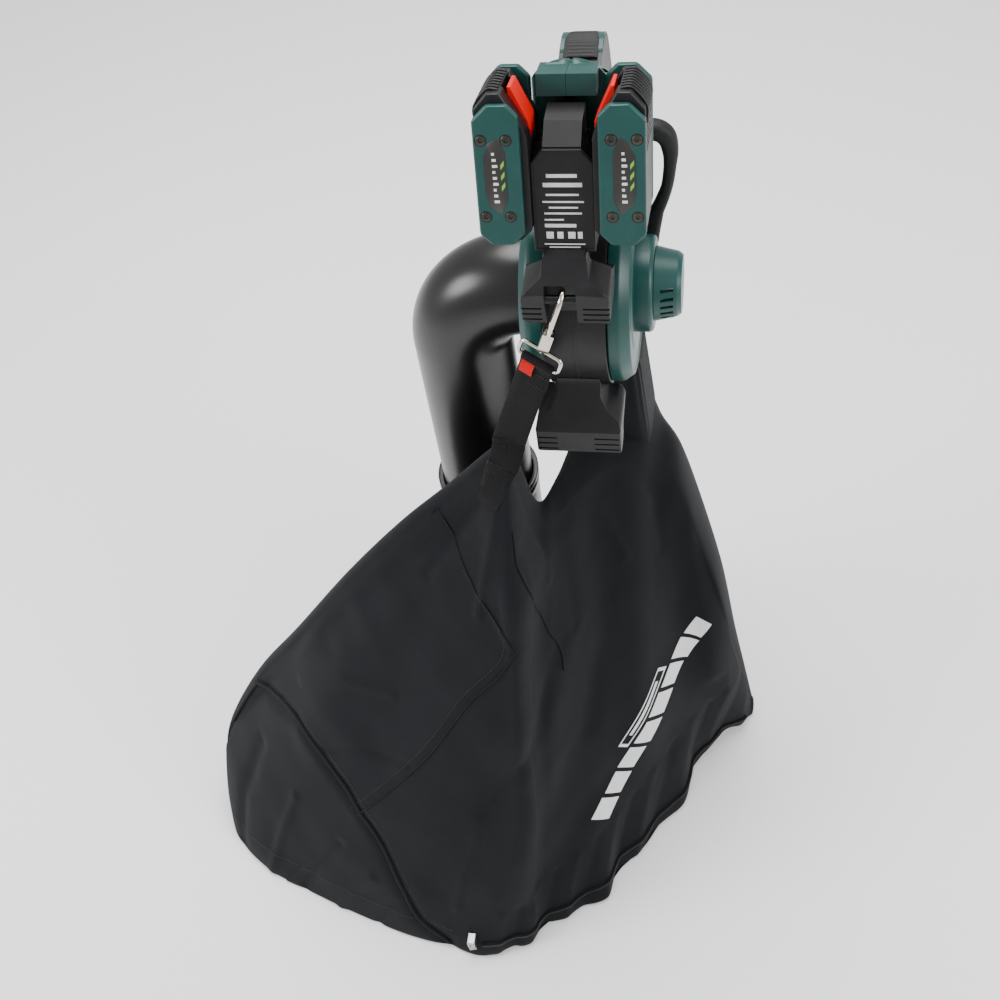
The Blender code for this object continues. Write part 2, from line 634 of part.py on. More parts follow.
BAR = (-113.0, 84.5)                  # (y, z) of the bar that the hook hangs on
STRAP_END = Vector((-64.0, -124.0, -87.0))
HOOK_X = -4.0                         # where along the bar the hook hangs
EYE_Z = -76.0                         # the eye's lower bar, down the hook from its bow
EYE_TURN = radians(-22)               # the eye and strap, turned on the hook's swivel
STRAP_HALF = 15.5


def line_frame(name, top, end):
    """An empty at top, with local Z pointing up the line from end, and local X level to the right."""
    up = (top - end).normalized()
    across = (Vector((1, 0, 0)) - up * up.x).normalized()
    made = empty(name, top, MOTOR)
    made.rotation_mode = "QUATERNION"
    made.rotation_quaternion = Matrix((across, up.cross(across), up)).transposed().to_quaternion()
    return made


def snap_hook(hook):
    """Bow, sprung gate and swivel eye. Local Z runs up the hook, local Y across its bow."""
    bow = smooth([(0, -6.5, -44), (0, -8.6, -26), (0, -8.8, -4), (0, -6.8, 4), (0, -0.4, 8.2), (0, 6.2, 4),
                  (0, 7.2, -2)], 4)
    body = tube("hook_body", "nickel", hook, bow, 2.3, 2)
    lug = [(-9.5, -35), (0, -35), (7, -40), (7.5, -48), (5, -58), (-6, -58), (-9.5, -50)]
    join(body, plate("hook_lug", None, hook, lug, (-5.0, 5.0)))
    cut(body, box("gate_slot", None, hook, (-1.8, -0.8, -47.5), (1.8, 12, -30)))
    cut(body, rod("swivel_bore", None, hook, (0, 0, -52.8), (0, 0, -62), 2.3, 16))
    pivot = empty("gate_pivot", (0, 4.2, -44.4), hook)
    arm = [(-2, -1.8), (1.6, -1.8), (2.6, 2), (5.2, 36), (2.8, 38.6), (0.8, 36), (-2, 3)]
    plate("hook_gate", "nickel", pivot, arm, (-1.5, 1.5))


def hook_eye(turn):
    """The D-ring that the strap is sewn on, with the swivel neck that the hook's lug holds."""
    half, tall = STRAP_HALF + 5.0, 15.5
    ring = [(-half, 3), (-half + 3, 0), (half - 3, 0), (half, 3), (half, tall - 6), (half - 6, tall),
            (-half + 6, tall), (-half, tall - 6)]
    eye = tube("hook_eye", "nickel", turn, [(x, 0, EYE_Z + z) for x, z in ring], 1.9, 2, closed=True)
    join(eye, rod("eye_collar", None, turn, (0, 0, -58.5), (0, 0, -62.0), 3.2, 12))
    return join(eye, rod("eye_neck", None, turn, (0, 0, -53.4), (0, 0, -60.0), 2.0, 12))


def strap(turn):
    """Webbing from the hook's eye to the bag's corner, with a sewn loop round the eye's lower bar."""
    end = -(Vector((HOOK_X, *BAR)) - STRAP_END).length
    web = box("strap", "webbing", turn, (-STRAP_HALF, -1.6, end), (STRAP_HALF, 1.6, EYE_Z - 2.8))
    join(web, rod("strap_loop", None, turn, (-STRAP_HALF, 0, EYE_Z), (STRAP_HALF, 0, EYE_Z), 4.4, 20))
    cut(web, rod("strap_bore", None, turn, (-30.0, 0, EYE_Z), (30.0, 0, EYE_Z), 2.3, 16))
    label = box("strap_tab", "red", turn, (-11.0, -4.4, EYE_Z - 14), (-1.0, -1.9, EYE_Z - 5))
    return web, rounded(label, 0.5)


# ---------------------------------------------------------------- bag

# Each station along X: front hem y, back hem y, front of the top y, back of the top y, top height.
BAG_STATIONS = [
    (-477, -226, -178, -208, -194, 34),
    (-468, -252, -150, -198, -180, 88),
    (-448, -288, -118, -182, -160, 132),
    (-400, -324, -92, -170, -148, 208),
    (-340, -350, -78, -166, -144, 286),
    (-260, -376, -72, -158, -136, 392),
    (-190, -391, -68, -148, -126, 472),
    (-130, -397, -66, -138, -118, 530),
    (-80, -386, -64, -133, -115, 583),
    (-64, -377, -60, -133, -115, 583),
    (-54, -371, -44, -124, -90, 470),
    (-40, -360, -20, -104, -40, 452),
    (-18, -342, 0, -62, 60, 452),
    (15, -308, 10, -20, 106, 448),
    (45, -270, 14, -6, 104, 436),
    (62, -246, 14, 0, 84, 414),
    (84, -198, 12, 0, 58, 398),
    (107, -148, 8, -25, 34, 338),
    (134, -108, 2, -52, -6, 262),
    (152, -88, -8, -62, -33, 172),
    (166, -74, -18, -60, -42, 94),
    (177, -64, -36, -56, -46, 26),
]
WALL_STEPS = 6
SLIDER_STATION = 7                    # the station that the zip's slider stands at
NECK = ((-50, 12, 430), (55, 112, 430), (-44, 32, 552), (44, 114, 552))


def bag_section(front, back, top_front, top_back, height):
    """A closed (y, z) outline: a flat base on the floor, two bellied walls and a rounded top."""
    top_steps, belly = 3, min(16.0, 0.08 * height)
    fillet = min(10.0, 0.3 * height)
    points = []
    for i in range(WALL_STEPS + 1):
        t = i / WALL_STEPS
        points.append((front + (top_front - front) * t - belly * sin(pi * t) ** 0.8,
                       2.0 + (height - fillet - 2.0) * t))
    for i in range(1, top_steps + 1):
        t = i / (top_steps + 1)
        points.append((top_front + (top_back - top_front) * t, height - fillet + fillet * sin(pi * t) ** 0.7))
    for i in range(WALL_STEPS + 1):
        t = 1 - i / WALL_STEPS
        points.append((back + (top_back - back) * t + 0.2 * belly * sin(pi * t) ** 0.8,
                       2.0 + (height - fillet - 2.0) * t))
    return points + [(back - 3.0, 0.0), (front + 3.0, 0.0)]


def loft(name, colour, parent, rings):
    """Skins a row of unlike closed sections that all have the same number of points."""
    def build(made):
        rows = [[made.verts.new(Vector(p) * MM) for p in ring] for ring in rings]
        for one, two in zip(rows, rows[1:]):
            for i in range(len(one)):
                j = (i + 1) % len(one)
                made.faces.new((one[i], one[j], two[j], two[i]))
        made.faces.new(rows[0][::-1])
        made.faces.new(rows[-1])

    return add(name, mesh_from(build, name), colour, parent)


def bag():
    """The collecting bag as one plain solid: its body, and a neck that fits over the adaptor."""
    stations = smooth_rows(BAG_STATIONS, 2)
    rings = [[(row[0], y, z) for y, z in bag_section(*row[1:])] for row in stations]
    body = loft("bag", "fabric", FLOOR, rings)
    low_a, low_b, top_a, top_b = NECK
    levels = []
    for share in (0.0, 0.5, 1.0):
        a = Vector(low_a).lerp(Vector(top_a), share)
        b = Vector(low_b).lerp(Vector(top_b), share)
        levels.append([(x, y, a.z) for x, y in chamfered((a.x, a.y), (b.x, b.y), 12)])
    join(body, loft("bag_neck", None, FLOOR, levels))
    a, b = adaptor_box(GAP)
    mouth = box("neck_mouth", None, FLOOR, (*a, MOTOR_AXIS_Z + DUCT_END - 30), (*b, NECK[2][2] + 48))
    return cut(body, mouth)


def smooth_rows(rows, steps):
    """Catmull-Rom between rows of numbers, whatever their length."""
    before = [2 * a - b for a, b in zip(rows[0], rows[1])]
    after = [2 * a - b for a, b in zip(rows[-1], rows[-2])]
    ends = [before, *rows, after]
    path = []
    for quad in zip(ends, ends[1:], ends[2:], ends[3:]):
        for i in range(steps):
            t = i / steps
            path.append([0.5 * (2 * b + (c - a) * t + (2 * a - 5 * b + 4 * c - d) * t * t
                                + (3 * b - a - 3 * c + d) * t ** 3) for a, b, c, d in zip(*quad)])
    return [*path, list(rows[-1])]


def adaptor_box(extra):
    """The adaptor's outer corners in plan, grown by a clearance."""
    wall = 6.0 + extra
    return ((VOLUTE_X[0] - wall, DUCT_Y[0] - wall), (VOLUTE_X[1] + wall, DUCT_Y[1] + wall))


def bag_adaptor():
    """The frame in the bag's neck that latches on the outlet duct."""
    (x0, y0), (x1, y1) = adaptor_box(0.0)
    bottom = MOTOR_AXIS_Z + DUCT_END - 8
    ring = box("bag_adaptor", "black", FLOOR, (x0, y0, bottom), (x1, y1, bottom + 34))
    rounded(ring, 2.5, 2)
    return cut(ring, box("adaptor_hole", None, FLOOR, (VOLUTE_X[0] - GAP, DUCT_Y[0] - GAP, bottom - 5),
                         (VOLUTE_X[1] + GAP, DUCT_Y[1] + GAP, bottom + 50)))


def front_wall(row, height):
    """The y of the bag's front wall at a height, on one station row."""
    section = bag_section(*row[1:])
    wall = section[:WALL_STEPS + 1]
    for (y0, z0), (y1, z1) in zip(wall, wall[1:]):
        if z0 <= height <= z1:
            return y0 + (y1 - y0) * (height - z0) / (z1 - z0)
    return row[1]


def zip_pieces():
    """The zip over the front hem, its slider at the near corner and the pull that hangs from it."""
    zip_z, slider_x, stand_off = 20.0, -131.0, 4.2
    rows = [row for row in smooth_rows(BAG_STATIONS, 2) if slider_x < row[0] < 174]
    hem = [Vector((row[0], front_wall(row, zip_z), zip_z)) for row in rows]
    path = []
    for here, after in zip(hem, hem[1:]):
        along = (after - here).normalized()
        path.append(here + Vector((along.y, -along.x, 0.0)) * stand_off)
    path[0] = path[0].lerp(path[1], 0.3)
    tube("zip_tape", "webbing", FLOOR, smooth(path, 2), 2.4, 2)
    foot = BAG_STATIONS[SLIDER_STATION][1] - 2.2
    face = front_wall(BAG_STATIONS[SLIDER_STATION], 20.0) - 1.6
    slider = rounded(box("zip_slider", "nickel", FLOOR, (slider_x - 4.5, foot - 5.5, 22.0),
                         (slider_x + 4.5, face, 36.0)), 1.0)
    cut(slider, box("slider_slot", None, FLOOR, (slider_x - 1.9, foot - 8, 20.0), (slider_x + 1.9, foot + 2, 31.5)))
    pivot = empty("zip_pull_pivot", (slider_x, foot - 2.4, 27.4), FLOOR)
    shank = [(-1.0, 2.4), (1.0, 2.4), (1.0, -14), (-1.0, -14)]
    pull = plate("zip_pull", "nickel", pivot, shank, (-1.5, 1.5))
    paddle = [(-4.4, -11), (-4.4, -22), (-2.6, -25.4), (2.6, -25.4), (4.4, -22), (4.4, -11), (1.6, -8),
              (-1.6, -8)]
    join(pull, plate("pull_paddle", None, pivot, paddle, (-0.9, 0.9), side="Y"))
    cut(pull, rod("pull_hole", None, pivot, (0, -5, -20), (0, 5, -20), 2.4, 16))


# ---------------------------------------------------------------- assembly

def build_all():
    fan_housing()
    motor_pieces()
    fan_wheel()
    mulching_blade()
    intake_elbow()
    lower_tube()
    for side, label in ((-1, "left"), (1, "right")):
        housing_half(side, "housing_" + label)
        terminal_block(side, "terminals_" + label)
        battery_pack(side, label)
    battery_column()
    controller_board()
    main_handle()
    trigger_pieces()
    auxiliary_handle()
    front_foot()
    rear_foot()
    hook = line_frame("hook_frame", Vector((HOOK_X, *BAR)), STRAP_END)
    snap_hook(hook)
    turn = empty("swivel_turn", (0, 0, 0), hook, (0, 0, EYE_TURN))
    hook_eye(turn)
    strap(turn)
    bag()
    bag_adaptor()
    zip_pieces()


build_all()
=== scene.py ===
# %% [markdown]
# # A cordless leaf vacuum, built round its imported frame
#
# The working model of the machine is already there: every part has its real size and its joints. This
# lesson gives it its looks. Plain parts keep their shape and get a moulded finish. Tubes, rings and
# covers are worked out again as smooth surfaces, and the bag and its strap are shaped as real fabric.

import json
from math import cos, pi, radians, sin

import bmesh
import bpy
import numpy as np
from mathutils import Matrix, Vector


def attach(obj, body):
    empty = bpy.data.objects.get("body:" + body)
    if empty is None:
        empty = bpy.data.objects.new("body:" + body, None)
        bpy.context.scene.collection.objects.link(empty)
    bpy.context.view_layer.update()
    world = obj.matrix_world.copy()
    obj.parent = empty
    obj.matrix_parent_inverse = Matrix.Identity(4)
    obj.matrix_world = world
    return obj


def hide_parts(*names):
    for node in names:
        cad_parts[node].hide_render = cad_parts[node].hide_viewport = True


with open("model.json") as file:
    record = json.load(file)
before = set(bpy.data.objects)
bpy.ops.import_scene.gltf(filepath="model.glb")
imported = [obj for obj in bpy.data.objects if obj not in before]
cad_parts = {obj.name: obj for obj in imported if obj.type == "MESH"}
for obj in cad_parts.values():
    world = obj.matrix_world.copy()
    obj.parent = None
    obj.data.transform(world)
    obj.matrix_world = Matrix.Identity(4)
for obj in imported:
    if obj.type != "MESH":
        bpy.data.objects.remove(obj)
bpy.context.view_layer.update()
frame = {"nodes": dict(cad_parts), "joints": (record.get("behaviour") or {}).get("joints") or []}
joints = {joint["name"]: joint for joint in frame["joints"]}

# %% [markdown]
# ## Three places to measure from
#
# A machine like this is easiest to describe from its motor axis, its bag from the floor below that axis,
# and its packs in a frame that leans back with the rail tower. Each place below turns millimetres in its
# own frame into metres in the model. The lean is read from the direction in which a pack slides.

# %% Places
MM = 0.001
MOTOR = np.array(joints["rotor_spin"]["pos_m"])
UNDER_MOTOR = MOTOR * (1, 1, 0)
UP_PACK = np.array(joints["battery_left_slide"]["axis"])
PACK_FROM_MOTOR = np.array((0.0, -91.5, 154.4))
PACK_ORIGIN = MOTOR + PACK_FROM_MOTOR * MM
INTO_PACK = np.array((0.0, UP_PACK[2], -UP_PACK[1]))
HOOK_TOP = np.array(joints["hook_swivel"]["pos_m"])
UP_HOOK = np.array(joints["hook_swivel"]["axis"])
HOOK_ACROSS = np.array(joints["hook_gate_open"]["axis"])
EYE_TURN = radians(-22)


def at_motor(points):
    """Motor frame: x to the right, y to the back, z up, from the motor axis."""
    return np.asarray(points, float) * MM + MOTOR


def at_floor(points):
    """The same directions, from the floor under the motor."""
    return np.asarray(points, float) * MM + UNDER_MOTOR


def at_pack(points):
    """Pack frame: x to the right, v into the pack, w up along its rails."""
    points = np.asarray(points, float) * MM
    axes = np.stack([(1.0, 0.0, 0.0), INTO_PACK, UP_PACK])
    return points @ axes + PACK_ORIGIN


def at_hook(points, turn=0.0):
    """Hook frame: z runs up the hook from its bow, turned about that line by an angle."""
    back = np.cross(UP_HOOK, HOOK_ACROSS)
    across = HOOK_ACROSS * cos(turn) + back * sin(turn)
    axes = np.stack([across, np.cross(UP_HOOK, across), UP_HOOK])
    return np.asarray(points, float) * MM @ axes + HOOK_TOP


print("motor axis at", [round(v, 4) for v in MOTOR])


# %% [markdown]
# ## Surfaces from whole arrays
#
# Most new pieces are a grid of points: rows along one direction and columns along the other. One function
# turns such a grid into a mesh. It can close either direction on itself, and it writes a UV map in
# metres, so that a weave keeps its real size.

# %% From a grid to a piece
def grid_mesh(name, points, wrap_rows=False, wrap_columns=False):
    """Quads between neighbours of a rows x columns x 3 array. UV is the length run each way."""
    points = np.asarray(points, float)
    if wrap_rows:
        points = np.concatenate([points, points[:1]])
    if wrap_columns:
        points = np.concatenate([points, points[:, :1]], axis=1)
    rows, columns = points.shape[:2]
    index = np.arange(rows * columns).reshape(rows, columns)
    corners = [(slice(None, -1), slice(None, -1)), (slice(None, -1), slice(1, None)),
               (slice(1, None), slice(1, None)), (slice(1, None), slice(None, -1))]
    quads = np.stack([index[c] for c in corners], -1).reshape(-1, 4)
    mesh = bpy.data.meshes.new(name)
    mesh.from_pydata(points.reshape(-1, 3), [], quads.tolist())
    down = np.zeros((rows, columns))
    down[1:] = np.cumsum(np.linalg.norm(np.diff(points, axis=0), axis=2).mean(axis=1))[:, None]
    along = np.zeros((rows, columns))
    along[:, 1:] = np.cumsum(np.linalg.norm(np.diff(points, axis=1), axis=2), axis=1)
    uv = np.stack([along, down], -1)
    layer = mesh.uv_layers.new(name="Surface")
    layer.data.foreach_set("uv", np.stack([uv[c] for c in corners], 2).reshape(-1))
    return mesh


def welded(mesh, within=1e-6):
    """Merges points that meet, drops empty faces and turns every face outwards."""
    work = bmesh.new()
    work.from_mesh(mesh)
    bmesh.ops.remove_doubles(work, verts=work.verts, dist=within)
    bmesh.ops.dissolve_degenerate(work, edges=work.edges, dist=within)
    bmesh.ops.recalc_face_normals(work, faces=work.faces)
    work.to_mesh(mesh)
    work.free()
    return mesh


def shell(name, points, wrap_rows=False, wrap_columns=True, within=1e-6):
    """A grid closed into one welded skin."""
    return welded(grid_mesh(name, points, wrap_rows, wrap_columns), within)


def piece(name, mesh, material, body="machine", replaces=(), crease=35):
    """Puts a mesh in the scene as a finished piece that rides on a body."""
    made = bpy.data.objects.new(name, mesh)
    bpy.context.scene.collection.objects.link(made)
    mesh.materials.clear()
    mesh.materials.append(material)
    mesh.shade_smooth()
    mesh.set_sharp_from_angle(angle=radians(crease))
    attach(made, body)
    if replaces:
        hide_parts(*replaces)
    return made


def joined(name, meshes):
    """Several meshes as one, each left as its own shell."""
    work = bmesh.new()
    for mesh in meshes:
        work.from_mesh(mesh)
    mesh = bpy.data.meshes.new(name)
    work.to_mesh(mesh)
    work.free()
    return mesh


print("a grid becomes a mesh with the UV map Surface, in metres")

# %% Profiles, turned and swept shapes
def unit(vectors):
    """Each vector, made one long."""
    return vectors / np.linalg.norm(vectors, axis=-1, keepdims=True)


def steps_of(path):
    """How far apart the path's neighbouring points are."""
    return np.linalg.norm(np.diff(path, axis=0), axis=1)


def points_at(path, first, pitch, ahead=0.0):
    """Points at an even pitch along a path, each moved on by a further length."""
    gone = np.concatenate([[0], np.cumsum(steps_of(path))])
    at = np.arange(first, gone[-1], pitch) + ahead
    return np.stack([np.interp(at, gone, path[:, i]) for i in range(3)], -1)


def smooth_path(points, steps):
    """A Catmull-Rom curve: each span is a cubic set by the two points before and after it."""
    p = np.asarray(points, float)
    p = np.vstack([2 * p[0] - p[1], p, 2 * p[-1] - p[-2]])
    t = np.linspace(0, 1, steps, endpoint=False)[None, :, None]
    a, b, c, d = (p[i:len(p) - 3 + i, None] for i in range(4))
    spans = 0.5 * (2 * b + (c - a) * t + (2 * a - 5 * b + 4 * c - d) * t ** 2
                   + (3 * b - a - 3 * c + d) * t ** 3)
    return np.vstack([spans.reshape(-1, p.shape[1]), p[-2:-1]])


def soft_corners(points, radius, steps=4, closed=True):
    """Swaps each corner for a short quadratic curve that starts and ends a radius away from it."""
    p = np.asarray(points, float)
    before, after = np.roll(p, 1, 0) - p, np.roll(p, -1, 0) - p
    back, ahead = (np.linalg.norm(v, axis=1, keepdims=True) for v in (before, after))
    start = p + before / back * np.minimum(radius, back * 0.45)
    end = p + after / ahead * np.minimum(radius, ahead * 0.45)
    t = np.linspace(0, 1, steps)[None, :, None]
    curve = (1 - t) ** 2 * start[:, None] + 2 * t * (1 - t) * p[:, None] + t ** 2 * end[:, None]
    if not closed:
        curve[0], curve[-1] = p[0], p[-1]
    return curve.reshape(-1, p.shape[1])


def lathe(profile, steps=96):
    """(radius, height) points turned about Z: x = r cos a, y = r sin a, z = height."""
    profile = np.asarray(profile, float)
    angle = np.linspace(0, 2 * pi, steps, endpoint=False)
    ring = np.stack([np.cos(angle), np.sin(angle)], -1)
    plan = profile[:, None, :1] * ring[None]
    return np.concatenate([plan, np.broadcast_to(profile[:, None, 1:], plan[..., :1].shape)], -1)


def along_x(points):
    """Turns a shape about Z into the same shape about X."""
    return np.stack([points[..., 2], points[..., 0], points[..., 1]], -1)


def sweep(path, normal, half_in, half_out, sides=32, power=1.0):
    """Carries an oval along a flat path. normal stands on the path's plane. At angle a the point is
    path + across * half_in * cos(a)^power + normal * half_out * sin(a)^power, keeping signs."""
    path, normal = np.asarray(path, float), np.asarray(normal, float)
    across = unit(np.cross(np.gradient(path, axis=0), normal))
    angle = np.linspace(0, 2 * pi, sides, endpoint=False)
    c, s = (np.sign(f) * np.abs(f) ** power for f in (np.cos(angle), np.sin(angle)))
    half_in, half_out = (np.broadcast_to(h, len(path))[:, None, None] for h in (half_in, half_out))
    return (path[:, None] + across[:, None] * half_in * c[None, :, None]
            + normal * half_out * s[None, :, None])


def capped(points):
    """Adds a row at each end that shrinks to one point, so that welding closes the ends."""
    first = np.broadcast_to(points[:1].mean(axis=1, keepdims=True), points[:1].shape)
    last = np.broadcast_to(points[-1:].mean(axis=1, keepdims=True), points[-1:].shape)
    return np.concatenate([first, points, last])


print("3 corners at 8 steps become", len(smooth_path(np.eye(3), 8)), "points")

# %% [markdown]
# ## Finishes
#
# Moulded plastic is never quite even: a fine spark-eroded grain scatters the light, the colour drifts a
# little, and handling polishes some places. One node group makes all three from noise, and every
# plastic, rubber and metal here places that group with its own values.

# %% A node group for grain
def new_group(name, inputs, outputs):
    group = bpy.data.node_groups.new(name, "ShaderNodeTree")
    for label, kind, value in inputs:
        made = group.interface.new_socket(label, in_out="INPUT", socket_type=kind)
        if value is not None:
            made.default_value = value
    for label, kind in outputs:
        group.interface.new_socket(label, in_out="OUTPUT", socket_type=kind)
    return group, group.nodes.new("NodeGroupInput"), group.nodes.new("NodeGroupOutput")


def node(tree, kind, **values):
    """A node with its properties, and its inputs by name (words with _ for spaces) set."""
    made = tree.nodes.new(kind)
    for key, value in values.items():
        if hasattr(made, key):
            setattr(made, key, value)
        else:
            made.inputs[key.replace("_", " ")].default_value = value
    return made


def noise(tree, vector, scale, detail=3.0):
    made = node(tree, "ShaderNodeTexNoise", Detail=detail)
    tree.links.new(vector, made.inputs["Vector"])
    if isinstance(scale, (int, float)):
        made.inputs["Scale"].default_value = scale
    else:
        tree.links.new(scale, made.inputs["Scale"])
    return made.outputs["Fac"]


def maths(tree, operation, *values):
    made = node(tree, "ShaderNodeMath", operation=operation)
    for socket, value in zip(made.inputs, values):
        if isinstance(value, (int, float)):
            socket.default_value = value
        else:
            tree.links.new(value, socket)
    return made.outputs[0]


def tinted(tree, factor, low, high):
    """A colour between two others."""
    made = node(tree, "ShaderNodeMix", data_type="RGBA")
    tree.links.new(factor, made.inputs["Factor"])
    for name, value in (("A", low), ("B", high)):
        socket = next(s for s in made.inputs if s.name == name and s.type == "RGBA")
        if isinstance(value, tuple):
            socket.default_value = value
        else:
            tree.links.new(value, socket)
    return next(s for s in made.outputs if s.type == "RGBA")


def grain_group():
    group, given, out = new_group("Moulded grain", [
        ("Vector", "NodeSocketVector", None), ("Colour", "NodeSocketColor", None),
        ("Worn colour", "NodeSocketColor", None), ("Grain per metre", "NodeSocketFloat", 900.0),
        ("Roughness", "NodeSocketFloat", 0.5), ("Drift", "NodeSocketFloat", 0.1)],
        [("Colour", "NodeSocketColor"), ("Roughness", "NodeSocketFloat"), ("Height", "NodeSocketFloat")])
    vector = given.outputs["Vector"]
    fine = noise(group, vector, given.outputs["Grain per metre"], 2.0)
    cloud = noise(group, vector, 14.0, 4.0)
    rubbed = noise(group, vector, 55.0, 5.0)
    patches = maths(group, "SMOOTH_MIN", maths(group, "POWER", rubbed, 3.0), 1.0, 0.2)
    worn = maths(group, "MULTIPLY", patches, 1.6)
    mixed = tinted(group, worn, given.outputs["Colour"], given.outputs["Worn colour"])
    group.links.new(mixed, out.inputs["Colour"])
    swing = maths(group, "MULTIPLY", maths(group, "SUBTRACT", cloud, 0.5), given.outputs["Drift"])
    group.links.new(maths(group, "ADD", given.outputs["Roughness"], swing), out.inputs["Roughness"])
    group.links.new(fine, out.inputs["Height"])
    return group


def new_shader(name):
    """A new material with its node tree and its main shader."""
    material = bpy.data.materials.new(name)
    material.use_nodes = True
    tree = material.node_tree
    return material, tree, tree.nodes["Principled BSDF"]


def placed_group(tree, shader, made_group, vector, values, relief, depth):
    """Places a finish group: its values in, its colour and the bump of its height on to the shader."""
    group = node(tree, "ShaderNodeGroup", node_tree=made_group)
    for key, value in values.items():
        group.inputs[key].default_value = value
    tree.links.new(vector, group.inputs[0])
    tree.links.new(group.outputs["Colour"], shader.inputs["Base Color"])
    bump = node(tree, "ShaderNodeBump", Strength=relief, Distance=depth)
    tree.links.new(group.outputs["Height"], bump.inputs["Height"])
    tree.links.new(bump.outputs["Normal"], shader.inputs["Normal"])
    return group


GRAIN, GRAIN_DEPTH = grain_group(), 0.0004


def moulded(name, colour, worn, roughness, grain=900.0, relief=0.05, drift=0.18, metallic=0.0,
            shine=0.5):
    """A material from the grain group: a base colour, the tint of its rubbed places, and its grain."""
    material, tree, shader = new_shader(name)
    shader.inputs["Metallic"].default_value = metallic
    shader.inputs["Specular IOR Level"].default_value = shine
    where = node(tree, "ShaderNodeTexCoord").outputs["Object"]
    values = {"Colour": (*colour, 1), "Worn colour": (*worn, 1), "Grain per metre": grain,
              "Roughness": roughness, "Drift": drift}
    group = placed_group(tree, shader, GRAIN, where, values, relief, GRAIN_DEPTH)
    tree.links.new(group.outputs["Roughness"], shader.inputs["Roughness"])
    return material


# %% The moulded and metal finishes
green = moulded("green moulding", (0.004, 0.047, 0.041), (0.008, 0.066, 0.058), 0.38, 1300, 0.10,
                shine=0.4)
black = moulded("black moulding", (0.006, 0.0062, 0.007), (0.013, 0.013, 0.0145), 0.42, 1100, 0.16,
                shine=0.3)
grip = moulded("textured grip", (0.007, 0.0072, 0.0078), (0.013, 0.013, 0.014), 0.6, 620, 0.5, shine=0.3)
tube_black = moulded("tube moulding", (0.004, 0.004, 0.0045), (0.006, 0.006, 0.0065), 0.3, 2200,
                     0.006, 0.06)
red = moulded("red latch moulding", (0.62, 0.002, 0.001), (0.7, 0.008, 0.004), 0.4, 1200, 0.08,
              shine=0.25)
steel = moulded("turned steel", (0.42, 0.42, 0.43), (0.55, 0.55, 0.55), 0.34, 700, 0.05, 0.2, 1.0)
bronze = moulded("bronzed screw", (0.045, 0.04, 0.034), (0.12, 0.10, 0.075), 0.38, 700, 0.05, 0.2, 0.9)
nickel = moulded("nickel plate", (0.62, 0.57, 0.50), (0.75, 0.71, 0.64), 0.2, 500, 0.03, 0.16, 1.0)
brass = moulded("contact brass", (0.6, 0.4, 0.14), (0.7, 0.5, 0.2), 0.32, 700, 0.04, 0.2, 1.0)
board = moulded("circuit board", (0.01, 0.09, 0.03), (0.02, 0.13, 0.05), 0.42, 800, 0.05)
label_dark = moulded("label film", (0.017, 0.015, 0.014), (0.024, 0.021, 0.02), 0.34, 1400, 0.03)
label_ink = moulded("label ink", (0.62, 0.62, 0.6), (0.7, 0.7, 0.68), 0.5, 1400, 0.02)
lime_ink = moulded("lime ink", (0.12, 0.42, 0.03), (0.16, 0.5, 0.05), 0.5, 1400, 0.02)
print("finishes ready")

# %% [markdown]
# ## Fabric
#
# The bag is coated polyester: a plain weave too fine to count from a distance, with a soft sheen. The
# strap is a coarse herringbone webbing. Both weaves follow the piece's own UV map, which is in metres,
# so threads run with the cloth. Two crossed waves give the threads their height.

# %% A node group for woven cloth
def weave_group():
    group, given, out = new_group("Plain weave", [
        ("UV", "NodeSocketVector", None), ("Colour", "NodeSocketColor", None),
        ("Lint colour", "NodeSocketColor", None), ("Threads per metre", "NodeSocketFloat", 900.0),
        ("Slant", "NodeSocketFloat", 0.0)],
        [("Colour", "NodeSocketColor"), ("Height", "NodeSocketFloat")])
    parts = node(group, "ShaderNodeSeparateXYZ")
    group.links.new(given.outputs["UV"], parts.inputs[0])
    turn = maths(group, "MULTIPLY", parts.outputs["Y"], given.outputs["Slant"])
    rate = maths(group, "MULTIPLY", given.outputs["Threads per metre"], pi)
    slanted = maths(group, "ADD", parts.outputs["X"], turn)
    warp = maths(group, "SINE", maths(group, "MULTIPLY", slanted, rate))
    weft = maths(group, "SINE", maths(group, "MULTIPLY", parts.outputs["Y"], rate))
    threads = maths(group, "MULTIPLY", maths(group, "ABSOLUTE", warp), maths(group, "ABSOLUTE", weft))
    cloud = noise(group, given.outputs["UV"], 22.0, 4.0)
    speck = maths(group, "GREATER_THAN", noise(group, given.outputs["UV"], 420.0, 1.0), 0.74)
    soft = maths(group, "ADD", maths(group, "MULTIPLY", cloud, 0.5),
                 maths(group, "MULTIPLY", threads, 0.25))
    lint = maths(group, "ADD", soft, maths(group, "MULTIPLY", speck, 0.25))
    mixed = tinted(group, lint, given.outputs["Colour"], given.outputs["Lint colour"])
    group.links.new(mixed, out.inputs["Colour"])
    group.links.new(threads, out.inputs["Height"])
    return group


WEAVE, WEAVE_DEPTH = weave_group(), 0.0005


def cloth(name, colour, lint, threads, slant=0.0, relief=0.3, roughness=0.8, sheen=0.05):
    """A material from the weave group: a base colour, the tint of its lint, and its threads."""
    material, tree, shader = new_shader(name)
    shader.inputs["Roughness"].default_value = roughness
    shader.inputs["Specular IOR Level"].default_value = 0.12
    shader.inputs["Sheen Weight"].default_value = sheen
    shader.inputs["Sheen Roughness"].default_value = 0.4
    where = node(tree, "ShaderNodeUVMap", uv_map="Surface").outputs["UV"]
    values = {"Colour": (*colour, 1), "Lint colour": (*lint, 1), "Threads per metre": threads,
              "Slant": slant}
    placed_group(tree, shader, WEAVE, where, values, relief, WEAVE_DEPTH)
    return material


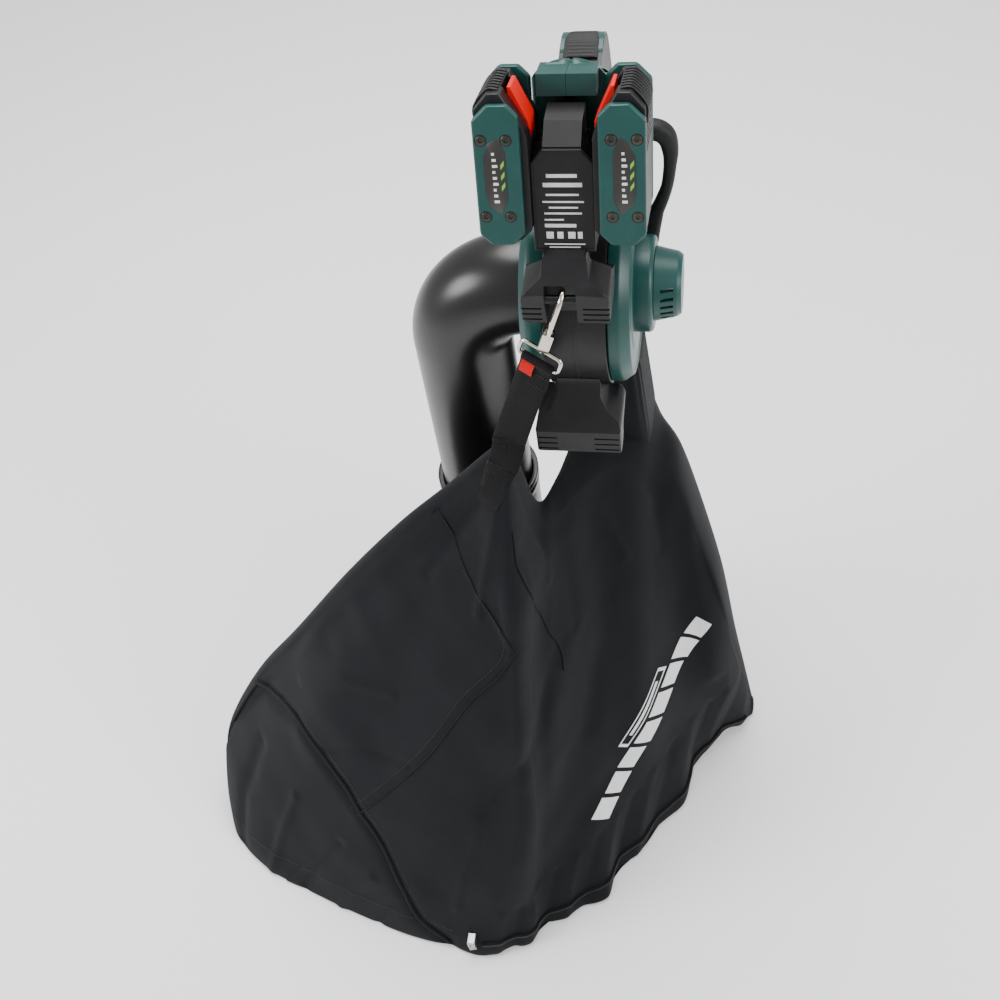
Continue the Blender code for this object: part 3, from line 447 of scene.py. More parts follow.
bag_cloth = cloth("coated polyester", (0.004, 0.0047, 0.0062), (0.0125, 0.0137, 0.0165), 760, 0.0,
                  0.5, 0.74)
webbing = cloth("herringbone webbing", (0.0035, 0.0035, 0.004), (0.014, 0.014, 0.015), 420, 1.0,
                0.9, 0.7)
red_cloth = cloth("red woven tape", (0.5, 0.003, 0.002), (0.62, 0.008, 0.006), 600, 0.0, 0.5, 0.6)
print_ink = moulded("screen print", (0.66, 0.67, 0.67), (0.74, 0.74, 0.74), 0.6, 1500, 0.1)
print("fabrics ready")

# %% [markdown]
# ## Camera, light and floor
#
# The machine is seen from behind and well above, through a longish lens held a little out of level. The
# camera is set by where it stands, where it looks and how far it is rolled. A pale floor, a bright
# surrounding and three large soft lights make a plain studio.

# %% Camera
CAMERA_AT = at_motor((148.7, -933.4, 858.7))
HEADING, PITCH, ROLL = radians(-16.0), radians(50.9), radians(-10.2)
LENS = 48.35


def aim(heading, pitch, roll):
    """Camera axes: forward from heading and downward pitch, then right and up rolled about it."""
    forward = Vector((sin(heading) * cos(pitch), cos(heading) * cos(pitch), -sin(pitch)))
    level = Vector((cos(heading), -sin(heading), 0.0))
    upright = level.cross(forward)
    right = level * cos(roll) + upright * sin(roll)
    up = upright * cos(roll) - level * sin(roll)
    return Matrix((right, up, -forward)).transposed().to_4x4()


camera_data = bpy.data.cameras.new("studio camera")
camera_data.lens = LENS
camera = bpy.data.objects.new("studio_camera", camera_data)
bpy.context.scene.collection.objects.link(camera)
camera.matrix_world = Matrix.Translation(CAMERA_AT) @ aim(HEADING, PITCH, ROLL)
bpy.context.scene.camera = camera
print("camera at", [round(v, 3) for v in CAMERA_AT], "with a", LENS, "mm lens")


# %% Lights and floor
def softbox(name, place, target, size, power):
    """A round soft light at a place, turned to a target."""
    data = bpy.data.lights.new(name, "AREA")
    data.shape = "DISK"
    data.size = size
    data.energy = power
    light = bpy.data.objects.new(name, data)
    light.location = place
    light.rotation_euler = (Vector(target) - Vector(place)).to_track_quat("-Z", "Y").to_euler()
    bpy.context.scene.collection.objects.link(light)


softbox("left_softbox", (-1.9, -0.7, 1.7), (0.0, 0.0, 0.4), 1.1, 44)
softbox("right_softbox", (1.9, -0.6, 1.6), (0.1, 0.1, 0.6), 1.0, 30)
softbox("top_softbox", (0.0, 0.9, 2.8), (0.1, 0.0, 0.5), 1.8, 90)

world = bpy.data.worlds.new("bright studio")
world.use_nodes = True
background = world.node_tree.nodes["Background"]
background.inputs["Color"].default_value = (1.0, 1.0, 1.0, 1.0)
background.inputs["Strength"].default_value = 0.75
bpy.context.scene.world = world

FLOOR_HALF, FLOOR_DROP = 6.0, 0.0004
floor_sides = (-FLOOR_HALF, FLOOR_HALF)
floor_corners = np.stack(np.meshgrid(floor_sides, floor_sides, (-FLOOR_DROP,)), -1)[..., 0, :]
floor_mesh = grid_mesh("floor", floor_corners)
floor = bpy.data.objects.new("floor", floor_mesh)
bpy.context.scene.collection.objects.link(floor)
paper, _, paper_shader = new_shader("pale paper")
paper_shader.inputs["Base Color"].default_value = (0.9, 0.9, 0.9, 1.0)
paper_shader.inputs["Roughness"].default_value = 0.9
floor_mesh.materials.append(paper)
print("floor", 2 * FLOOR_HALF, "m wide under", len(bpy.data.lights), "lights")

# %% [markdown]
# ## Parts that keep their shape
#
# The frame's own meshes are loose triangles, so they look faceted. A copy whose points are merged can be
# shaded smooth across its rounded edges and sharp at its real ones. The copy then stands for the part.
# Weighted normals keep the flat faces flat, as on a real moulding.

# %% Finished copies
def finished(name, material, body="machine", crease=32):
    """A merged, smooth-shaded copy of one of the frame's parts, which replaces it."""
    mesh = frame["nodes"][name].data.copy()
    work = bmesh.new()
    work.from_mesh(mesh)
    bmesh.ops.remove_doubles(work, verts=work.verts, dist=2e-6)
    bmesh.ops.dissolve_limit(work, angle_limit=radians(0.8), verts=work.verts, edges=work.edges)
    work.to_mesh(mesh)
    work.free()
    made = piece(name + "_finished", mesh, material, body, (name,), crease)
    weighted = made.modifiers.new("Flat faces", "WEIGHTED_NORMAL")
    weighted.keep_sharp = True


PLAIN = {
    "green_plastic": (green, ["motor_cap", "housing_left", "housing_right", "handle_cap"]),
    "black_plastic": (black, ["volute_band", "battery_column", "column_cover", "main_handle",
                              "front_foot", "rear_foot", "bag_adaptor", "fan_wheel",
                              "switch_module"]),
    "steel": (steel, ["motor_can", "front_bearing", "rear_bearing", "rotor", "mulching_blade",
                      "blade_nut", "trigger_pin"]),
    "brass_contacts": (brass, ["terminals_left", "terminals_right"]),
    "circuit_board": (board, ["controller_board"]),
}
SPINNING = {"fan_wheel", "rotor", "mulching_blade", "blade_nut"}
for slot_name, (material, names) in PLAIN.items():
    for name in names:
        finished(name, material, "rotor" if name in SPINNING else "machine")
finished("trigger", red, "trigger")
finished("speed_dial", grip, "speed_dial")
finished("tube_lock_button", black, "tube_lock_button")
finished("hook_gate", nickel, "hook_gate")
finished("hook_body", nickel, "snap_hook", 50)
finished("zip_slider", steel)
finished("zip_pull", steel, "zip_pull")
for side in ("left", "right"):
    pack = "battery_" + side
    finished(pack + "_case", black, pack)
    finished(pack + "_front_plate", green, pack)
    finished(pack + "_back_plate", green, pack)
    finished(pack + "_latch", red, "latch_" + side)

# %% [markdown]
# ## Suction tube
#
# The elbow is one blown tube round a wide bend. A ring carried along the bend's centre line gives the
# outside, a smaller ring the bore, and joining the two at both ends makes a wall of even thickness. The
# straight tube below is turned from its profile, with a stepped collar at the top and a rolled lip.

# %% Elbow and lower tube
INTAKE_R, INTAKE_WALL, BEND_R, TUBE_X = 49.4, 2.6, 70.0, -126.0
SOCKET_TOP, LOWER_R = 400.0, 54.5


def elbow():
    """Centre line: straight from the fan, a quarter circle of BEND_R, then straight down."""
    angle = np.linspace(pi / 2, pi, 49)
    bend = np.stack([TUBE_X + BEND_R + BEND_R * np.cos(angle), 0 * angle,
                     BEND_R * np.sin(angle) - BEND_R], -1)
    down = [(TUBE_X, 0, z) for z in np.linspace(-90, -325, 12)]
    line = np.vstack([[(-35.0, 0, 0)], [(-40.0, 0, 0)], bend, down])
    bore = INTAKE_R - INTAKE_WALL
    outer, inner = (sweep(line, (0, 1, 0), radius, radius, 96) for radius in (INTAKE_R, bore))
    return shell("intake_tube", at_motor(np.concatenate([outer, inner[::-1]])), True)


def straight_tube():
    """A ring-shaped wall in (radius, height), with every corner softened."""
    bore, wall, top = INTAKE_R + 0.6, 2.6, SOCKET_TOP
    wall_line = [(bore, top), (bore + 6.2, top), (bore + 6.2, top - 6), (bore + 5.4, top - 8),
                 (bore + 6.2, top - 10), (bore + 6.2, top - 14), (LOWER_R + 0.6, top - 20),
                 (LOWER_R, top - 60), (LOWER_R, 26.0), (LOWER_R + 2.2, 22.0), (LOWER_R + 2.2, 0.0),
                 (LOWER_R - wall, 0.0), (LOWER_R - wall, top - 85), (bore, top - 82)]
    points = lathe(soft_corners(wall_line, 1.0), 120) + (TUBE_X, 0, 0)
    return shell("straight_tube", at_floor(points), True)


piece("intake_elbow_finished", elbow(), tube_black, replaces=("intake_elbow",),
      crease=50)
piece("lower_tube_finished", straight_tube(), tube_black, replaces=("lower_tube",),
      crease=40)
print("tube", 2 * INTAKE_R, "mm across at the elbow and", 2 * LOWER_R, "mm below")

# %% [markdown]
# ## Fan covers
#
# Both covers are turned shapes too. Their rims are softened and stand a little proud of the flat face, as
# a moulded flange does.

# %% Covers
LEFT_FACE, RIGHT_FACE = -27.0, 29.0


def turned_cover(name, profile, face):
    """A closed (radius, height) profile turned about the motor axis, from a cover's face."""
    points = along_x(lathe(soft_corners(profile, 1.6), 160)) + (face, 0, 0)
    return shell(name, at_motor(points), True)


left_rim = [(84.0, -22.7), (90.0, -16.0), (91.0, -12.0), (91.0, -0.3), (45.0, -0.3), (45.0, -7.7),
            (49.7, -7.7), (49.7, -22.7), (54.0, -22.7), (56.0, -21.2), (78.0, -21.2), (80.0, -22.7)]
right_rim = [(30.0, 20.5), (60.0, 20.5), (62.0, 19.2), (80.0, 19.2), (82.0, 20.5), (84.0, 20.5),
             (91.0, 11.0), (91.0, 0.3), (30.0, 0.3)]
motor_step = [(27.0, 37.0), (43.0, 37.0), (45.0, 34.0), (45.0, 17.0), (27.0, 17.0)]
left_shell = turned_cover("left_cover_shell", left_rim, LEFT_FACE)
piece("left_cover_finished", left_shell, green, replaces=("left_cover",))
right_shell = joined("right_cover_shell", [turned_cover("right_flange", right_rim, RIGHT_FACE),
                                           turned_cover("motor_collar", motor_step, RIGHT_FACE)])
piece("right_cover_finished", right_shell, green, replaces=("right_cover",))
print("covers", 2 * max(radius for radius, _ in left_rim), "mm across")

# %% [markdown]
# ## Side handle
#
# The side handle starts as a round grip and flattens into a leg that widens where it meets the cover. One
# sweep does it: the oval's two half sizes change along the path.

# %% Side handle
# x and z of the handle's line, then its half sizes in that plane and across it
HANDLE_LINE = [(32.4, 133.0, 9.0, 9.0), (45.0, 133.0, 9.0, 9.0), (58.0, 133.4, 9.0, 9.0),
               (68.0, 131.5, 9.0, 9.0), (74.8, 125.0, 8.6, 8.6), (77.8, 112.0, 7.4, 7.4),
               (77.5, 96.0, 6.0, 6.2), (74.0, 70.0, 5.4, 6.0), (65.0, 44.0, 6.6, 6.0),
               (57.0, 26.0, 12.0, 6.0), (51.0, 15.0, 17.0, 6.0)]
HANDLE_Y, HANDLE_SQUARE = 52.0, 0.75


def side_handle():
    """An oval whose half sizes are read between the handle's knots, carried along its line."""
    table = np.array(HANDLE_LINE)
    path = smooth_path(table[:, :2], 6)
    length, knots = np.linspace(0, 1, len(path)), np.linspace(0, 1, len(table))
    half_in, half_out = (np.interp(length, knots, table[:, i]) for i in (2, 3))
    line = np.stack([path[:, 0], 0 * length + HANDLE_Y, path[:, 1]], -1)
    points = capped(sweep(line, (0, 1, 0), half_in, half_out, 40, HANDLE_SQUARE))
    return shell("side_handle", at_motor(points))


piece("auxiliary_handle_finished", side_handle(), grip,
      replaces=("auxiliary_handle",), crease=50)
print("side handle from", len(HANDLE_LINE), "places")

# %% [markdown]
# ## Snap hook and ring
#
# The hook is nickel-plated wire and a small cast lug. Wire is a circle carried along a smooth path, and a
# closed path makes the ring. The ring and the strap are turned a little on the hook's swivel.

# %% Ring of the hook
EYE_Z, STRAP_HALF = -76.0, 15.5
RING_HALF, RING_TALL, WIRE_R = STRAP_HALF + 5.0, 15.5, 1.9


def wire_loop(name, outline, radius):
    """A closed wire in the hook's x-z plane. Repeating its end points closes the sweep's frame."""
    path = soft_corners(np.asarray(outline, float), 5.5, 8)
    path = np.stack([path[:, 0], 0 * path[:, 0], path[:, 1]], -1)
    ring = sweep(np.vstack([path[-1:], path, path[:1]]), (0, 1, 0), radius, radius, 20)[1:-1]
    return shell(name, at_hook(ring, EYE_TURN), True)


def hook_ring():
    """The ring's wire, and the turned post by which it swivels in the lug."""
    low, high = EYE_Z, EYE_Z + RING_TALL
    ring = wire_loop("ring_wire", [(-RING_HALF, low), (RING_HALF, low), (RING_HALF, high),
                                   (-RING_HALF, high)], WIRE_R)
    stem = [(0, -53.4), (2.0, -53.6), (2.0, -58.4), (3.2, -58.6), (3.2, -62.0), (2.2, -63.0),
            (0, -63.2)]
    post = shell("ring_post", at_hook(lathe(stem, 24), EYE_TURN))
    return joined("ring", [ring, post])


piece("hook_eye_finished", hook_ring(), nickel, replaces=("hook_eye",), crease=60)
print("ring", 2 * RING_HALF, "x", RING_TALL, "mm")

# %% [markdown]
# ## Strap
#
# The strap is one length of webbing. It goes round the ring's lower bar, is sewn to itself, and runs down
# to the bag's corner with a slight twist. The sheet below is a strip of constant width carried along that
# path, closed round its thin edges. A red tab is caught in its fold, and two rows of stitches hold it.

# %% Strap
STRAP_FOOT = (-64.0, -124.0, -87.0)
STRAP_DOWN = float(np.linalg.norm(HOOK_TOP - at_motor(STRAP_FOOT))) / MM
STRAP_THICK, STRAP_LOOP_R, STRAP_TWIST = 1.5, 3.6, radians(20)


def ribbon(path, across, half, thick):
    """A flat strip: each row is a rounded rectangle, wide along across and thin along its normal."""
    path, across = np.asarray(path, float), np.asarray(across, float)
    normal = unit(np.cross(np.gradient(path, axis=0), across))
    edge = np.array([(-1, -1), (-0.5, -1), (0, -1), (0.5, -1), (1, -1), (1.02, 0),
                     (1, 1), (0.5, 1), (0, 1), (-0.5, 1), (-1, 1), (-1.02, 0)], float)
    return (path[:, None] + across[:, None] * edge[None, :, :1] * half
            + normal[:, None] * edge[None, :, 1:] * thick * 0.5)


def strap_mesh():
    """The strap's skin and its length: a short back leg, a turn round the ring's bar, then the long
    front leg, which twists by share^1.5 of the whole twist on its way down."""
    low = -STRAP_DOWN - 4.0
    back_leg = [(0, 2.0, z) for z in (EYE_Z - 30, EYE_Z - 20, EYE_Z - 10)]
    turn = [(0, STRAP_LOOP_R * cos(a), EYE_Z + STRAP_LOOP_R * sin(a))
            for a in np.linspace(-0.25 * pi, 1.25 * pi, 15)]
    front_leg = [(0, -1.4 - 0.6 * sin(pi * t), EYE_Z - 9 + (low - EYE_Z + 9) * t)
                 for t in np.linspace(0, 1, 14)]
    path = smooth_path(back_leg + turn + front_leg, 3)
    share = np.clip((EYE_Z - path[:, 2]) / (EYE_Z - low), 0, 1)
    twist = STRAP_TWIST * share ** 1.5
    across = np.stack([np.cos(twist), np.sin(twist), 0 * twist], -1)
    rows = at_hook(capped(ribbon(path, across, STRAP_HALF, STRAP_THICK)), EYE_TURN)
    return shell("strap_webbing", rows), float(steps_of(path).sum()) * MM


strap_shape, strap_length = strap_mesh()
strap = piece("strap_finished", strap_shape, webbing, replaces=("strap",), crease=70)
print("strap", round(strap_length, 4), "m long")


TAB_HALF, TAB_LENGTH = 6.5, 15.6


def red_tab():
    """A short tongue folded out of the strap's loop, a little curled."""
    t = np.linspace(0, 1, 14)
    path = np.stack([-7.0 + 0 * t, -2.9 - 1.8 * np.sin(pi * t), EYE_Z - 1.5 - 14.5 * t], -1)
    across = np.tile((1.0, 0.0, 0.0), (len(t), 1))
    return shell("tab", at_hook(capped(ribbon(path, across, TAB_HALF, 0.9)), EYE_TURN))


tab = piece("strap_tab_finished", red_tab(), red_cloth, replaces=("strap_tab",), crease=60)


ANY_WAY = (0.31, 0.77, 0.55)  # a direction that no thread runs along


def stitches(places, along, length=2.2, radius=0.35):
    """Short round threads centred on places and lying along a direction, all in one mesh."""
    places = np.asarray(places, float)
    along = np.broadcast_to(unit(np.asarray(along, float)), places.shape)
    side = unit(np.cross(along, ANY_WAY))
    other = np.cross(along, side)
    angle = np.linspace(0, 2 * pi, 6, endpoint=False)
    reach = np.array([(-0.5, 0.01), (-0.42, 0.8), (0.0, 1.0), (0.42, 0.8), (0.5, 0.01)])
    rows = (places[:, None, None]
            + along[:, None, None] * (reach[:, 0] * length * MM)[None, :, None, None]
            + (side[:, None, None] * np.cos(angle)[None, None, :, None]
               + other[:, None, None] * np.sin(angle)[None, None, :, None])
            * (reach[:, 1] * radius * MM)[None, :, None, None])
    count, n, m = rows.shape[:3]
    index = np.arange(count * n * m).reshape(count, n, m)
    index = np.concatenate([index, index[:, :, :1]], axis=2)
    quads = np.stack([index[:, :-1, :-1], index[:, :-1, 1:], index[:, 1:, 1:], index[:, 1:, :-1]],
                     -1).reshape(-1, 4)
    ends = np.concatenate([index[:, 0, -2::-1], index[:, -1, :-1]])
    mesh = bpy.data.meshes.new("stitches")
    mesh.from_pydata(rows.reshape(-1, 3), [], quads.tolist() + ends.tolist())
    return mesh


thread = moulded("black thread", (0.012, 0.012, 0.013), (0.03, 0.03, 0.032), 0.6, 2500, 0.4)
x_row = np.arange(-13.5, 13.6, 3.0)
strap_rows = [at_hook([(x, -2.35, EYE_Z - drop) for x in x_row], EYE_TURN)
              for drop in (11.0, 25.0)]
across_strap = at_hook((1, 0, 0), EYE_TURN) - HOOK_TOP
piece("strap_stitches", stitches(np.concatenate(strap_rows), across_strap), thread,
      crease=60)

# %% [markdown]
# ## Bag
#
# The bag hangs from the hook at its pointed front corner and from the outlet duct at its neck, and its
# full belly stands on the ground. Its shape is given at a row of stations along X: where the
# front and back walls meet the ground, where its top is, and how high. Curves through the stations give
# every place between them.

# %% The bag's stations, in millimetres from the floor under the motor
# x, front hem y, back hem y, front of the top y, back of the top y, height of the top
BAG_STATIONS = [
    (-477, -226, -178, -208, -194, 34),
    (-468, -252, -150, -198, -180, 88),
    (-448, -288, -118, -182, -160, 132),
    (-400, -324, -92, -170, -148, 208),
    (-340, -350, -78, -166, -144, 286),
    (-260, -376, -72, -158, -136, 392),
    (-190, -391, -68, -148, -126, 472),
    (-130, -397, -66, -138, -118, 530),
    (-80, -386, -64, -133, -115, 583),
    (-64, -377, -60, -133, -115, 583),
    (-54, -371, -44, -124, -90, 470),
    (-40, -360, -20, -104, -40, 452),
    (-18, -342, 0, -62, 60, 452),
    (15, -308, 10, -20, 106, 448),
    (45, -270, 14, -6, 104, 436),
    (62, -246, 14, 0, 84, 414),
    (84, -198, 12, 0, 58, 398),
    (107, -148, 8, -25, 34, 338),
    (134, -108, 2, -52, -6, 262),
    (152, -88, -8, -62, -33, 172),
    (166, -74, -18, -60, -42, 94),
    (177, -64, -36, -56, -46, 26),
]
FINE_STATIONS = smooth_path(BAG_STATIONS, 12)
BAG_LEFT, BAG_RIGHT = BAG_STATIONS[0][0], BAG_STATIONS[-1][0]
HEM_Z = 2.0


def station(x):
    """The five measures at any x, read from the curves through the stations."""
    return [np.interp(x, FINE_STATIONS[:, 0], FINE_STATIONS[:, i]) for i in range(1, 6)]


def top_fillet(height):
    """How far the bag's top edge is rounded, at a place of this height."""
    return np.minimum(10.0, 0.3 * height)


def wall_height(height):
    """The height of a wall between the hem and the rounded top."""
    return height - top_fillet(height) - HEM_Z


def share_at(x, z):
    """Where a height z lies on the wall at x: 0 at the hem, 1 at the top."""
    return (z - HEM_Z) / wall_height(station(x)[4])


def bare_front(x, share):
    """The front wall without its folds: straight from hem to top, less a belly of sin(pi s)^0.8."""
    front, _, top_front, _, height = station(x)
    belly = np.minimum(16.0, 0.08 * height)
    y = front + (top_front - front) * share - belly * np.sin(pi * share) ** 0.8
    return np.stack([x + 0 * share, y, HEM_Z + wall_height(height) * share], -1)


def bare_back(x, share):
    """The back wall, in the same way, with a small belly of sin(pi s)."""
    _, back, _, top_back, height = station(x)
    belly = np.minimum(4.0, 0.02 * height)
    y = back + (top_back - back) * share + belly * np.sin(pi * share)
    return np.stack([x + 0 * share, y, HEM_Z + wall_height(height) * share], -1)


def outward(surface, x, share, side):
    """Unit normal from the surface's own slopes, on the given side of Y."""
    step_x = surface(x + 1.5, share) - surface(x - 1.5, share)
    step_s = surface(x, np.minimum(share + 0.004, 1.0)) - surface(x, np.maximum(share - 0.004, 0.0))
    normal = np.cross(step_x, step_s)
    normal /= np.maximum(np.linalg.norm(normal, axis=-1, keepdims=True), 1e-9)
    return normal * np.sign(normal[..., 1:2] * side + 1e-12)


print("bag", BAG_RIGHT - BAG_LEFT, "mm wide from", len(BAG_STATIONS), "stations")

# %% [markdown]
# ### Folds
#
# Cloth under light load shows few folds: a long ridge from the hanging corner to the ground, hollows that
# run out of the tight places, and a hem that waves where it is cut longer than it lies. Each fold is a
# line on the wall with a width and a height, and a bell curve across it. Slow waves whose phase is itself
# bent by other waves add the unevenness in between.

# %% Relief of the front wall
FOLDS = [
    # line as (x, z) points, width, height
    ([(-66, 545), (-50, 440), (-34, 330), (-47, 215), (-98, 86), (-122, 0)], 26, 9.0),
    ([(-62, 500), (-66, 392), (-120, 325), (-205, 208), (-262, 150)], 16, 3.0),
    ([(-38, 443), (-37, 392), (-36, 332), (-60, 260), (-110, 190)], 10, -4.0),
    ([(-8, 440), (4, 369), (10, 300), (-4, 210)], 12, -3.5),
    ([(30, 430), (40, 340), (52, 250), (44, 150)], 20, 4.0),
    ([(60, 400), (84, 300), (96, 200), (84, 90)], 16, -3.6),
    ([(100, 330), (118, 240), (128, 150)], 12, 3.4),
    ([(-72, 560), (-120, 500), (-200, 420), (-290, 320)], 18, -3.5),
    ([(-250, 360), (-300, 250), (-330, 200)], 24, 4.0),
    ([(-170, 400), (-230, 250), (-262, 120)], 30, -4.0),
    ([(-60, 60), (-20, 110), (40, 150)], 18, -3.0),
    ([(-180, 90), (-140, 150), (-100, 240)], 20, -3.0),
    # short creases: out of the strap's corner, up from the zip, and in the end panel
    ([(-66, 560), (-84, 500), (-104, 420)], 5, 2.2),
    ([(-72, 560), (-108, 512), (-160, 440)], 6, -2.2),
    ([(-60, 540), (-52, 470), (-46, 400)], 4, 1.8),
    ([(-50, 452), (-30, 400), (-22, 330)], 5, -2.0),
    ([(-30, 448), (4, 412), (30, 350)], 5, 1.8),
    ([(40, 432), (60, 390), (70, 330)], 5, -1.8),
    ([(-440, 10), (-432, 70), (-404, 140)], 7, -3.2),
    ([(-395, 6), (-376, 62), (-350, 120)], 6, 2.6),
    ([(-350, 8), (-322, 54), (-290, 96)], 6, -2.6),
    ([(-300, 4), (-276, 40), (-250, 70)], 6, 2.4),
    ([(-250, 4), (-232, 36), (-214, 60)], 5, -2.0),
    ([(-330, 250), (-270, 290), (-210, 300)], 5, 1.6),
    ([(-300, 200), (-250, 226), (-190, 232)], 5, -1.6),
    ([(-150, 60), (-138, 110), (-118, 160)], 5, 1.8),
]
HEM_CREASES = [([(x, 0), (x + 5, 42), (x + 14 + x / 16, 78 + x / 5)], 6, 2.2 - 4.4 * (i % 2))
               for i, x in enumerate(range(-104, 168, 19))]
FLAP_EDGE = [(-150, 520), (-111, 455), (-68, 392), (-117, 325), (-162, 259), (-205, 208),
             (-262, 146), (-330, 60)]
PIPING = [(-452, 150), (-399, 194), (-337, 208), (-278, 171), (-237, 122), (-217, 76), (-196, 32),
          (-160, 6)]
# wave numbers along x and z, phase, height
WAVES = [(0.021, 0.006, 0.0, 1.3), (-0.012, 0.017, 1.7, 1.1), (0.034, 0.013, 2.9, 0.8),
         (0.017, -0.028, 4.4, 0.7), (0.058, 0.021, 0.8, 0.45), (-0.043, 0.047, 3.6, 0.35),
         (0.094, 0.011, 5.1, 0.22), (0.071, 0.083, 2.2, 0.16)]


def line_distance(x, z, line):
    """Distance from each (x, z) to a broken line, and on which side of it the point lies."""
    best = np.full(np.broadcast(x, z).shape, 1e9)
    side = np.zeros_like(best)
    for (x0, z0), (x1, z1) in zip(line, line[1:]):
        run = np.array((x1 - x0, z1 - z0), float)
        t = np.clip(((x - x0) * run[0] + (z - z0) * run[1]) / (run @ run), 0, 1)
        off_x, off_z = x - x0 - t * run[0], z - z0 - t * run[1]
        distance = np.hypot(off_x, off_z)
        turn = np.sign(run[1] * off_x - run[0] * off_z)
        side = np.where(distance < best, turn, side)
        best = np.minimum(best, distance)
    return best, side


def slow_waves(x, z):
    """Sum of a sin(k.p + phase + sin(k'.p)): each wave's phase is bent by a second, longer one."""
    total = 0.0
    for kx, kz, phase, height in WAVES:
        bend = 1.1 * np.sin(0.45 * kz * x - 0.6 * kx * z + 2.0 * phase)
        total = total + height * np.sin(kx * x + kz * z + phase + bend)
    return total


def ramp(value, over):
    """0 up to zero, then evenly up to 1 over a length, and 1 from there."""
    return np.clip(value / over, 0, 1)


def relief(x, z, share):
    """How far the front wall stands out from its bare shape, in millimetres: slow waves, a bell
    height * exp(-(d / width)^2) per fold, the flap's step, the piping's groove and the hem's
    scallops, all fading out at the wall's edges."""
    out = slow_waves(x, z)
    for line, width, height in FOLDS + HEM_CREASES:
        distance, _ = line_distance(x, z, line)
        out = out + height * np.exp(-(distance / width) ** 2)
    flap_gap, flap_side = line_distance(x, z, FLAP_EDGE)
    out = out + 1.3 * np.clip(0.5 + flap_side * -flap_gap / 3.0, 0, 1) * (x < -60)
    seam_gap, _ = line_distance(x, z, PIPING)
    out = out - 3.0 * np.exp(-(seam_gap / 9.0) ** 2)
    hem = np.exp(-np.maximum(z - 4, 0) / 60.0)
    scallop = 6.5 * np.sin(0.073 * x + 1.3) + 3.0 * np.sin(0.151 * x + 0.4)
    out = out + hem * scallop * ramp(x + 110, 60) * ramp(176 - x, 30)
    fade = ramp(1.0 - share, 0.06) * ramp(x - BAG_LEFT, 14) * ramp(BAG_RIGHT + 1 - x, 12)
    horn = 1 - 0.75 * np.exp(-((x + 62) / 16.0) ** 2) * ramp(z - 440, 40)
    return out * fade * (3 - 2 * fade) * fade * horn


def front(x, share, lift=0.0):
    """The front wall with its relief, or a skin lifted from it."""
    bare = bare_front(x, share)
    normal = outward(bare_front, x, share, -1)
    return bare + normal * (relief(x, bare[..., 2], share) + lift)[..., None]


def on_front(line, lift, steps=8):
    """A line given as (x, z) laid on the front wall, a little proud of it."""
    flat = smooth_path([(x, 0.0, z) for x, z in line], steps)
    x, z = flat[:, 0], flat[:, 2]
    return front(x, np.clip(share_at(x, z), 0, 1), lift)


print("folds", len(FOLDS), "and hem creases", len(HEM_CREASES))

# %% The bag's body
def bag_body():
    """One ring per x: up the front wall, over the top, down the back and along the base. Three
    shrinking rings round off each end. Columns stand closest where the strap's corner is."""
    x = np.concatenate([np.linspace(BAG_LEFT, -80, 190, endpoint=False),
                        np.linspace(-80, -36, 40, endpoint=False),
                        np.linspace(-36, BAG_RIGHT, 120)])[:, None]
    s = np.linspace(0, 1, 150)[None]
    wall = front(x, s)
    back_share = np.linspace(1, 0, 60)[None]
    back = bare_back(x, back_share)
    ripple = slow_waves(x * 1.1 + 300, back[..., 2]) * ramp(1 - back_share, 0.1)
    ripple = ripple * ramp(back_share, 0.08)
    back = back + outward(bare_back, x, back_share, 1) * ripple[..., None]
    _, back_y, top_front, top_back, height = station(x)
    t = np.linspace(0, 1, 10)[None, 1:-1]
    crown = height - top_fillet(height) * (1 - np.sin(pi * t) ** 0.7)
    top = np.stack([x + 0 * t, top_front + (top_back - top_front) * t, crown], -1)
    t = np.linspace(0, 1, 14)[None]
    under_y = wall[:, :1, 1] + 3.0 + (back_y - 3.0 - wall[:, :1, 1] - 3.0) * (1 - t)
    base = np.stack([x + 0 * t, under_y, 0 * t + 0 * x], -1)
    rings = np.concatenate([wall, top, back, base], axis=1)
    rings[..., 2] = np.maximum(rings[..., 2], 0.0)
    middle = rings.mean(axis=1, keepdims=True)
    ends = []
    for end, way in ((0, -1), (-1, 1)):
        for shrink in (0.9, 0.6, 0.001):
            ring = middle[end] + (rings[end] - middle[end]) * shrink
            ring[:, 0] += way * 3.0 * (1 - shrink ** 2) ** 0.5
            ends.append(ring)
    rows = np.concatenate([np.stack(ends[2::-1]), rings, np.stack(ends[3:])])
    return shell("bag_body", at_floor(rows), within=1e-5)


bag = piece("bag_finished", bag_body(), bag_cloth, replaces=("bag",), crease=75)
print("bag faces", len(bag.data.polygons))

# %% [markdown]
# ### Neck
#
# The neck is a sleeve gathered by elastic round the adaptor. Its section is a rounded rectangle that
# narrows upwards, and the gathers are fine upright waves that die out towards the bag.

# %% Neck sleeve
NECK_LOW, NECK_HIGH = ((-50, 14), (54, 110), 426), ((-41.5, 33.5), (41.5, 112.5), 551)
NECK_SQUARE, NECK_INSIDE = 0.32, 0.962


